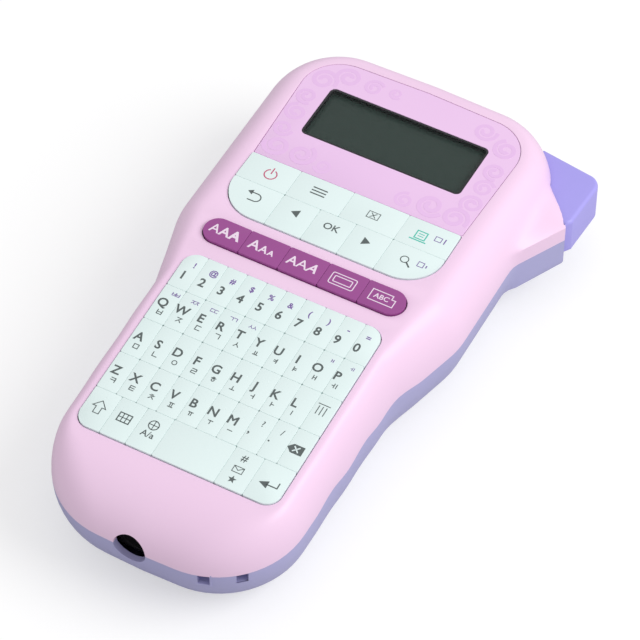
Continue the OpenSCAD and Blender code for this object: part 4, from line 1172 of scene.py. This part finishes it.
# %% Display panel
film = prism("display_film", tuples(display_outline()), -0.95, -0.1, ON_SCREEN, top=0.12, steps=2)
cut(film, prism("screen", rounded(58.8, 23.3, 2, 6, y=SCREEN_Y), -2, 1, ON_SCREEN))
finish(film, FILM, "case", "display_panel")
mask = prism("screen_mask", rounded(60.2, 24.6, 2.4, 6, y=SCREEN_Y), -2.1, -1.0, ON_SCREEN)
cut(mask, prism("inside", rounded(57.4, 21.9, 1.4, 6, y=SCREEN_Y), -3, 1, ON_SCREEN))
finish(mask, BLACK, "case")
# A black line round the inside of the window is painted shade: it stands for the shadow that the recess
# casts at the screen's edge.
painted_shade_ring = Print("screen_border", ON_SCREEN, -0.27)
painted_shade_ring.line(rounded(57.9, 22.4, 1.7, 8, y=SCREEN_Y), 0.7, closed=True)
painted_shade_ring.done(BLACK, "case")
window_plate = prism("window_plate", rounded(58.6, 23.1, 1.9, 6, y=SCREEN_Y), -0.95, -0.3, ON_SCREEN,
                     top=0.08, steps=2)
finish(window_plate, LENS, "case", "lcd_window")
print("display panel:", film.name, mask.name, window_plate.name)

# %% [markdown]
# ## Scrolls as instances
# One spiral is drawn in the node tree and placed on a list of points. Two attributes on the points say
# how far each copy turns and how large it is, and a negative size mirrors it. Each copy lies a hundredth
# of a millimetre above its neighbour, so that two ribbons that cross never share a surface.

# %% Scroll print
def make_scroll_tree():
    tree, start, end = new_tree("Scrolls", [("Geometry", "NodeSocketGeometry"),
                                            ("Turns", "NodeSocketFloat"), ("Radius", "NodeSocketFloat"),
                                           ("Width", "NodeSocketFloat"),
                                            ("Thickness", "NodeSocketFloat"),
                                            ("Material", "NodeSocketMaterial")])
    spiral, profile, ribbon, taper = (tree.nodes.new(k)
                                      for k in ("GeometryNodeCurveSpiral",
                                                "GeometryNodeCurvePrimitiveQuadrilateral",
                                                                  "GeometryNodeCurveToMesh",
                                                "GeometryNodeSetCurveRadius"))
    spiral.inputs["Resolution"].default_value = 26
    spiral.inputs["Height"].default_value = 0.0
    spiral.inputs["Start Radius"].default_value = 0.0007
    tree.links.new(start.outputs["Turns"], spiral.inputs["Rotations"])
    tree.links.new(start.outputs["Radius"], spiral.inputs["End Radius"])
    tree.links.new(start.outputs["Thickness"], profile.inputs["Height"])
    tree.links.new(start.outputs["Width"], profile.inputs["Width"])
    along, swell_curve = tree.nodes.new("GeometryNodeSplineParameter"), tree.nodes.new("ShaderNodeMapRange")
    swell_curve.inputs["To Min"].default_value = 1.0
    swell_curve.inputs["To Max"].default_value = 0.35
    tree.links.new(along.outputs["Factor"], swell_curve.inputs["Value"])
    tree.links.new(spiral.outputs["Curve"], taper.inputs["Curve"])
    tree.links.new(swell_curve.outputs["Result"], taper.inputs["Radius"])
    tree.links.new(taper.outputs["Curve"], ribbon.inputs["Curve"])
    tree.links.new(profile.outputs["Curve"], ribbon.inputs["Profile Curve"])
    ribbon.inputs["Fill Caps"].default_value = True
    copy = tree.nodes.new("GeometryNodeInstanceOnPoints")
    turn, size = (tree.nodes.new("GeometryNodeInputNamedAttribute") for _ in range(2))
    turn.data_type, size.data_type = "FLOAT_VECTOR", "FLOAT_VECTOR"
    turn.inputs["Name"].default_value, size.inputs["Name"].default_value = "turn", "size"
    tree.links.new(start.outputs["Geometry"], copy.inputs["Points"])
    tree.links.new(ribbon.outputs["Mesh"], copy.inputs["Instance"])
    tree.links.new(turn.outputs["Attribute"], copy.inputs["Rotation"])
    tree.links.new(size.outputs["Attribute"], copy.inputs["Scale"])
    close_tree(tree, start, end, copy.outputs["Instances"])
    return tree

SCROLLS = [(-33.6, 86.6, 4.6, 200, 1), (-26.6, 91.4, 4.4, 20, -1), (-17.2, 91.4, 3.4, 250, 1),
           (-35.0, 77.4, 3.6, 90, -1), (-34.8, 69.2, 3.9, 320, 1),
           (-35.0, 60.8, 3.5, 140, -1), (-33.2, 52.8, 4.5, 30, 1), (-24.0, 53.0, 4.6, 210, -1),
           (-15.4, 51.6, 3.0, 60, 1), (24.4, 91.6, 4.0, 160, -1), (33.8, 87.2, 4.2, 330, 1),
           (35.0, 76.6, 3.7, 80, -1), (35.0, 68.4, 3.6, 250, 1), (34.8, 60.4, 3.9, 20, -1),
           (32.6, 52.4, 4.6, 190, 1), (23.4, 53.4, 4.7, 120, -1), (14.6, 51.4, 3.3, 300, 1),
           (-9.4, 92.4, 2.4, 110, -1)]
points = bpy.data.meshes.new("scroll places")
points.from_pydata([Vector((x, y, 0.012 * (i % 4))) * MM for i, (x, y, *_) in enumerate(SCROLLS)], [], [])
for label, rows in (("turn", [(0, 0, math.radians(s[3])) for s in SCROLLS]),
                    ("size", [(s[2] / 3, s[2] / 3 * s[4], 1) for s in SCROLLS])):
    layer = points.attributes.new(label, "FLOAT_VECTOR", "POINT")
    layer.data.foreach_set("vector", [v for row in rows for v in row])
scrolls = grow("scroll_print", make_scroll_tree(), points, Turns=1.6, Radius=3 * MM, Width=1.0 * MM,
               Thickness=0.05 * MM, Material=SCROLL)
tilt = ON_SCREEN.copy()
tilt.translation = tilt.translation * MM
scrolls.data.transform(tilt @ Matrix.Translation((0, 0, -0.1 * MM)))
tidy = bmesh.new()
tidy.from_mesh(scrolls.data)
bmesh.ops.recalc_face_normals(tidy, faces=tidy.faces)
tidy.to_mesh(scrolls.data)
tidy.free()
finish(scrolls, SCROLL, "case")
print("scrolls:", len(SCROLLS), "faces:", len(scrolls.data.polygons))

# %% [markdown]
# ## What is inside
# The cover lifts off, so what it hides needs a finish as well. The six cells have one turned profile,
# grown in a row by a node tree that turns every second cell end for end, because the cells are wired in
# series. The screws are one shape too, copied to the tops of their posts.

# %% Cells
def lathe(name, profile, count=28):
    """A turned shape about Z from (radius, height) pairs, closed at both ends."""
    build = bmesh.new()
    rows = [[build.verts.new((r * math.cos(2 * math.pi * i / count),
                              r * math.sin(2 * math.pi * i / count), z)) for i in range(count)]
            for r, z in profile]
    for a, b in zip(rows, rows[1:]):
        for i in range(count):
            j = (i + 1) % count
            build.faces.new((a[i], a[j], b[j], b[i]))
    build.faces.new(rows[0])
    build.faces.new(rows[-1])
    return to_object(name, build)

def make_cell_tree():
    tree, start, end = new_tree("Row of cells",
                                [("Cell", "NodeSocketObject"), ("Count", "NodeSocketInt"),
                                 ("Pitch", "NodeSocketVector"),
                                                ("First", "NodeSocketVector"),
                                 ("Material", "NodeSocketMaterial")])
    row, info, copy = (tree.nodes.new(k) for k in ("GeometryNodeMeshLine", "GeometryNodeObjectInfo",
                                                   "GeometryNodeInstanceOnPoints"))
    index, odd, half_turn, turn = (tree.nodes.new(k)
                                   for k in ("GeometryNodeInputIndex", "ShaderNodeMath",
                                             "ShaderNodeMath", "ShaderNodeCombineXYZ"))
    odd.operation, half_turn.operation = "MODULO", "MULTIPLY"
    odd.inputs[1].default_value, half_turn.inputs[1].default_value = 2.0, math.pi
    tree.links.new(index.outputs[0], odd.inputs[0])
    tree.links.new(odd.outputs[0], half_turn.inputs[0])
    tree.links.new(half_turn.outputs[0], turn.inputs["Z"])
    tree.links.new(turn.outputs[0], copy.inputs["Rotation"])
    tree.links.new(start.outputs["Count"], row.inputs["Count"])
    tree.links.new(start.outputs["First"], row.inputs["Start Location"])
    tree.links.new(start.outputs["Pitch"], row.inputs["Offset"])
    tree.links.new(start.outputs["Cell"], info.inputs["Object"])
    tree.links.new(row.outputs["Mesh"], copy.inputs["Points"])
    tree.links.new(info.outputs["Geometry"], copy.inputs["Instance"])
    close_tree(tree, start, end, copy.outputs["Instances"])
    return tree

CELLS = make_cell_tree()
cell_low, cell_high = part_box("battery_cells")
middle, half = (cell_low + cell_high) / 2, (cell_high - cell_low).y / 2 / MM
def cell_row(name, profile, material, *stands_for):
    one = lathe("cell", profile)
    one.data.transform(Matrix.Rotation(math.radians(-90), 4, "X"))
    row = grow(name, CELLS, Cell=one, Count=6, Pitch=(11 * MM, 0, 0),
               First=(-27.5 * MM, middle.y, middle.z), Material=material)
    bpy.data.objects.remove(one)
    return finish(row, material, "case", *stands_for, crease=40)

cell_row("cell_cans", [(0.4, -half), (4.4, -half), (4.8, -half + 0.3), (4.9, -half + 0.8),
                       (4.9, half - 1.9), (4.4, half - 1.3), (1.9, half - 1.2),
                       (1.8, half - 0.1), (1.5, half), (0.4, half)], BRIGHT, "battery_cells")
cell_row("cell_sleeves", [(4.7, -half + 0.5), (5.1, -half + 0.6), (5.15, -half + 1), (5.15, half - 2.4),
                          (5.0, half - 1.9), (4.7, half - 1.8)], SLEEVE)
print("cells: 6, length", round(2 * half, 1), "mm")

# %% [markdown]
# ## Springs
# A spring is a wire that follows a helix, so one tree makes every spring here: a spiral curve with a
# height, and a small circle swept along it. The contact springs are cones, one at the flat end of each
# cell. The holder's spring has to shorten when the roller swings away, and it gets a mesh of its own.

# %% Springs
def make_spring_tree():
    tree, start, end = new_tree("Coil spring",
                                [("Geometry", "NodeSocketGeometry"), ("Turns", "NodeSocketFloat"),
                                 ("Foot radius", "NodeSocketFloat"),
                                               ("Top radius", "NodeSocketFloat"),
                                 ("Height", "NodeSocketFloat"), ("Wire", "NodeSocketFloat"),
                                 ("Material", "NodeSocketMaterial")])
    helix, circle, wire, copy, aim = (tree.nodes.new(k)
                                      for k in ("GeometryNodeCurveSpiral",
                                                "GeometryNodeCurvePrimitiveCircle",
                                                "GeometryNodeCurveToMesh",
                                                                  "GeometryNodeInstanceOnPoints",
                                                "GeometryNodeInputNamedAttribute"))
    helix.inputs["Resolution"].default_value = 20
    circle.inputs["Resolution"].default_value = 8
    wire.inputs["Fill Caps"].default_value = True
    for source, target in (("Turns", "Rotations"), ("Foot radius", "Start Radius"),
                           ("Top radius", "End Radius"), ("Height", "Height")):
        tree.links.new(start.outputs[source], helix.inputs[target])
    tree.links.new(start.outputs["Wire"], circle.inputs["Radius"])
    tree.links.new(helix.outputs["Curve"], wire.inputs["Curve"])
    tree.links.new(circle.outputs["Curve"], wire.inputs["Profile Curve"])
    aim.data_type = "FLOAT_VECTOR"
    aim.inputs["Name"].default_value = "aim"
    tree.links.new(start.outputs["Geometry"], copy.inputs["Points"])
    tree.links.new(wire.outputs["Mesh"], copy.inputs["Instance"])
    tree.links.new(aim.outputs["Attribute"], copy.inputs["Rotation"])
    close_tree(tree, start, end, copy.outputs["Instances"])
    return tree

SPRING = make_spring_tree()
def springs_at(name, places, **shape):
    spots = bpy.data.meshes.new(name + " places")
    spots.from_pydata([place for place, _ in places], [], [])
    layer = spots.attributes.new("aim", "FLOAT_VECTOR", "POINT")
    layer.data.foreach_set("vector", [v for _, turn in places for v in turn])
    return grow(name, SPRING, spots, Material=STEEL, **shape)

spring_low, spring_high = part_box("battery_springs")
ends = [(((i - 2.5) * 11 * MM, spring_low.y + 0.3 * MM if i % 2 == 0 else spring_high.y - 0.3 * MM,
          middle.z),
         (math.radians(-90 if i % 2 == 0 else 90), 0, 0)) for i in range(6)]
contacts = springs_at("contact_springs", ends, Turns=2.5, Foot_radius=3.3 * MM, Top_radius=1.9 * MM,
                      Height=1.8 * MM, Wire=0.25 * MM)
finish(contacts, STEEL, "case", "battery_springs")
hold_low, hold_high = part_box("holder_spring")
centre = (hold_low + hold_high) / 2
holder_spring = springs_at("roller_spring",
                           [((hold_low.x + 0.25 * MM, centre.y, centre.z), (0, math.radians(90), 0))],
                           Turns=5.0,
                           Foot_radius=1.6 * MM, Top_radius=1.6 * MM,
                           Height=hold_high.x - hold_low.x - 0.5 * MM, Wire=0.25 * MM)
finish(holder_spring, STEEL, "case", "holder_spring")
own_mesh(holder_spring)
print("springs:", len(ends), "at the cells and one behind the roller")

# %% [markdown]
# ## Case screws
# Each screw is turned from a profile, with a domed head and a recess for the driver. A small mesh of
# points, one for each boss, tells the node tree where to put them.

# %% Screws
def make_place_tree():
    tree, start, end = new_tree("Copies at points",
                                [("Geometry", "NodeSocketGeometry"), ("Shape", "NodeSocketObject"),
                                 ("Material", "NodeSocketMaterial")])
    info, copy = tree.nodes.new("GeometryNodeObjectInfo"), tree.nodes.new("GeometryNodeInstanceOnPoints")
    tree.links.new(start.outputs["Shape"], info.inputs["Object"])
    tree.links.new(start.outputs["Geometry"], copy.inputs["Points"])
    tree.links.new(info.outputs["Geometry"], copy.inputs["Instance"])
    close_tree(tree, start, end, copy.outputs["Instances"])
    return tree

screw_low, screw_high = (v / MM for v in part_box("case_screws"))
head_z, tip_z = screw_low.z, screw_high.z
screw = lathe("screw", [(0.3, head_z + 1.0), (1.0, head_z + 0.9), (1.1, head_z + 0.1), (1.7, head_z),
                        (2.2, head_z + 0.3), (2.3, head_z + 0.9), (2.2, head_z + 1.4),
                        (1.15, head_z + 1.5), (1.15, tip_z - 1.2), (0.3, tip_z)], 20)
spots = bpy.data.meshes.new("boss places")
spots.from_pydata([(x * MM, y * MM, 0) for x, y in SCREWS], [], [])
screws = grow("screws", make_place_tree(), spots, Shape=screw, Material=STEEL)
bpy.data.objects.remove(screw)
finish(screws, STEEL, "case", "case_screws")
print("screws:", len(SCREWS))

# %% [markdown]
# ## Finishes for the mechanism
# The rollers, gears, boards and the rest of the mechanism are already shaped well enough in the frame,
# so they only need a finish. The frame's record names a slot for each part, and a table turns each slot
# into one of the finishes made above.

# %% Mechanism finishes
SLOT_FINISH = {"pink_shell": PINK, "lavender_shell": LAVENDER, "violet_lever": VIOLET,
               "display_film": FILM, "lens": LENS, "lcd": CRYSTAL,
               "board": GREEN, "silicone": SILICONE, "flex": AMBER, "jack_plastic": BLACK,
               "cells": SLEEVE, "spring_steel": STEEL, "motor_can": BRIGHT,
               "gear_plastic": MILKY, "roller_rubber": RUBBER, "black_plastic": BLACK,
               "head_metal": BRIGHT, "blade_steel": STEEL,
               "cassette_plastic": CASSETTE, "tape": TAPE, "white_key": WHITE, "mauve_key": MAUVE}
dressed = 0
for part in frame["record"]["subparts"]:
    shape = nodes[part["node"]]
    shape.data.materials.clear()
    shape.data.materials.append(SLOT_FINISH[part["material_slot"]])
    dressed += 1
for name in ("key_mat", "upper_key_mat"):
    nodes[name].data.materials[0] = WHITE
print("mechanism parts with a finish:", dressed)

# %% [markdown]
# ## A light table
# The label maker lies on a pale table in a softly lit white room. The table glows, but only where the
# camera looks at it directly, so its shadows stay faint and it doesn't light the underside. One large
# light on the right gives the picture its direction.

# %% Floor and lights
floor = prism("floor", [(-3000, -3000), (3000, -3000), (3000, 3000), (-3000, 3000)], -5, 0)
FLOOR, tree, shader = new_material("pale floor")
shader.inputs["Base Color"].default_value = (0.6, 0.6, 0.6, 1)
shader.inputs["Roughness"].default_value = 0.9
shader.inputs["Specular IOR Level"].default_value = 0.1
shader.inputs["Emission Color"].default_value = (1, 1, 1, 1)
seen, glow = tree.nodes.new("ShaderNodeLightPath"), tree.nodes.new("ShaderNodeMath")
glow.operation = "MULTIPLY"
glow.inputs[1].default_value = 0.46
tree.links.new(seen.outputs["Is Camera Ray"], glow.inputs[0])
tree.links.new(glow.outputs[0], shader.inputs["Emission Strength"])
floor.data.materials.append(FLOOR)
world = bpy.data.worlds.new("soft white room")
scene.world = world
world.use_nodes = True
world.node_tree.nodes["Background"].inputs["Color"].default_value = (1, 1, 1, 1)
world.node_tree.nodes["Background"].inputs["Strength"].default_value = 0.68

def soft_light(name, place, target, size, power):
    data = bpy.data.lights.new(name, "AREA")
    data.shape, data.size, data.energy = "DISK", size, power
    lamp = bpy.data.objects.new(name, data)
    scene.collection.objects.link(lamp)
    lamp.location = place
    lamp.rotation_mode = "QUATERNION"
    lamp.rotation_quaternion = (Vector(target) - Vector(place)).to_track_quat("-Z", "Y")

soft_light("key light", (1.15, 0.3, 1.05), (0, 0, 0.03), 1.2, 13)
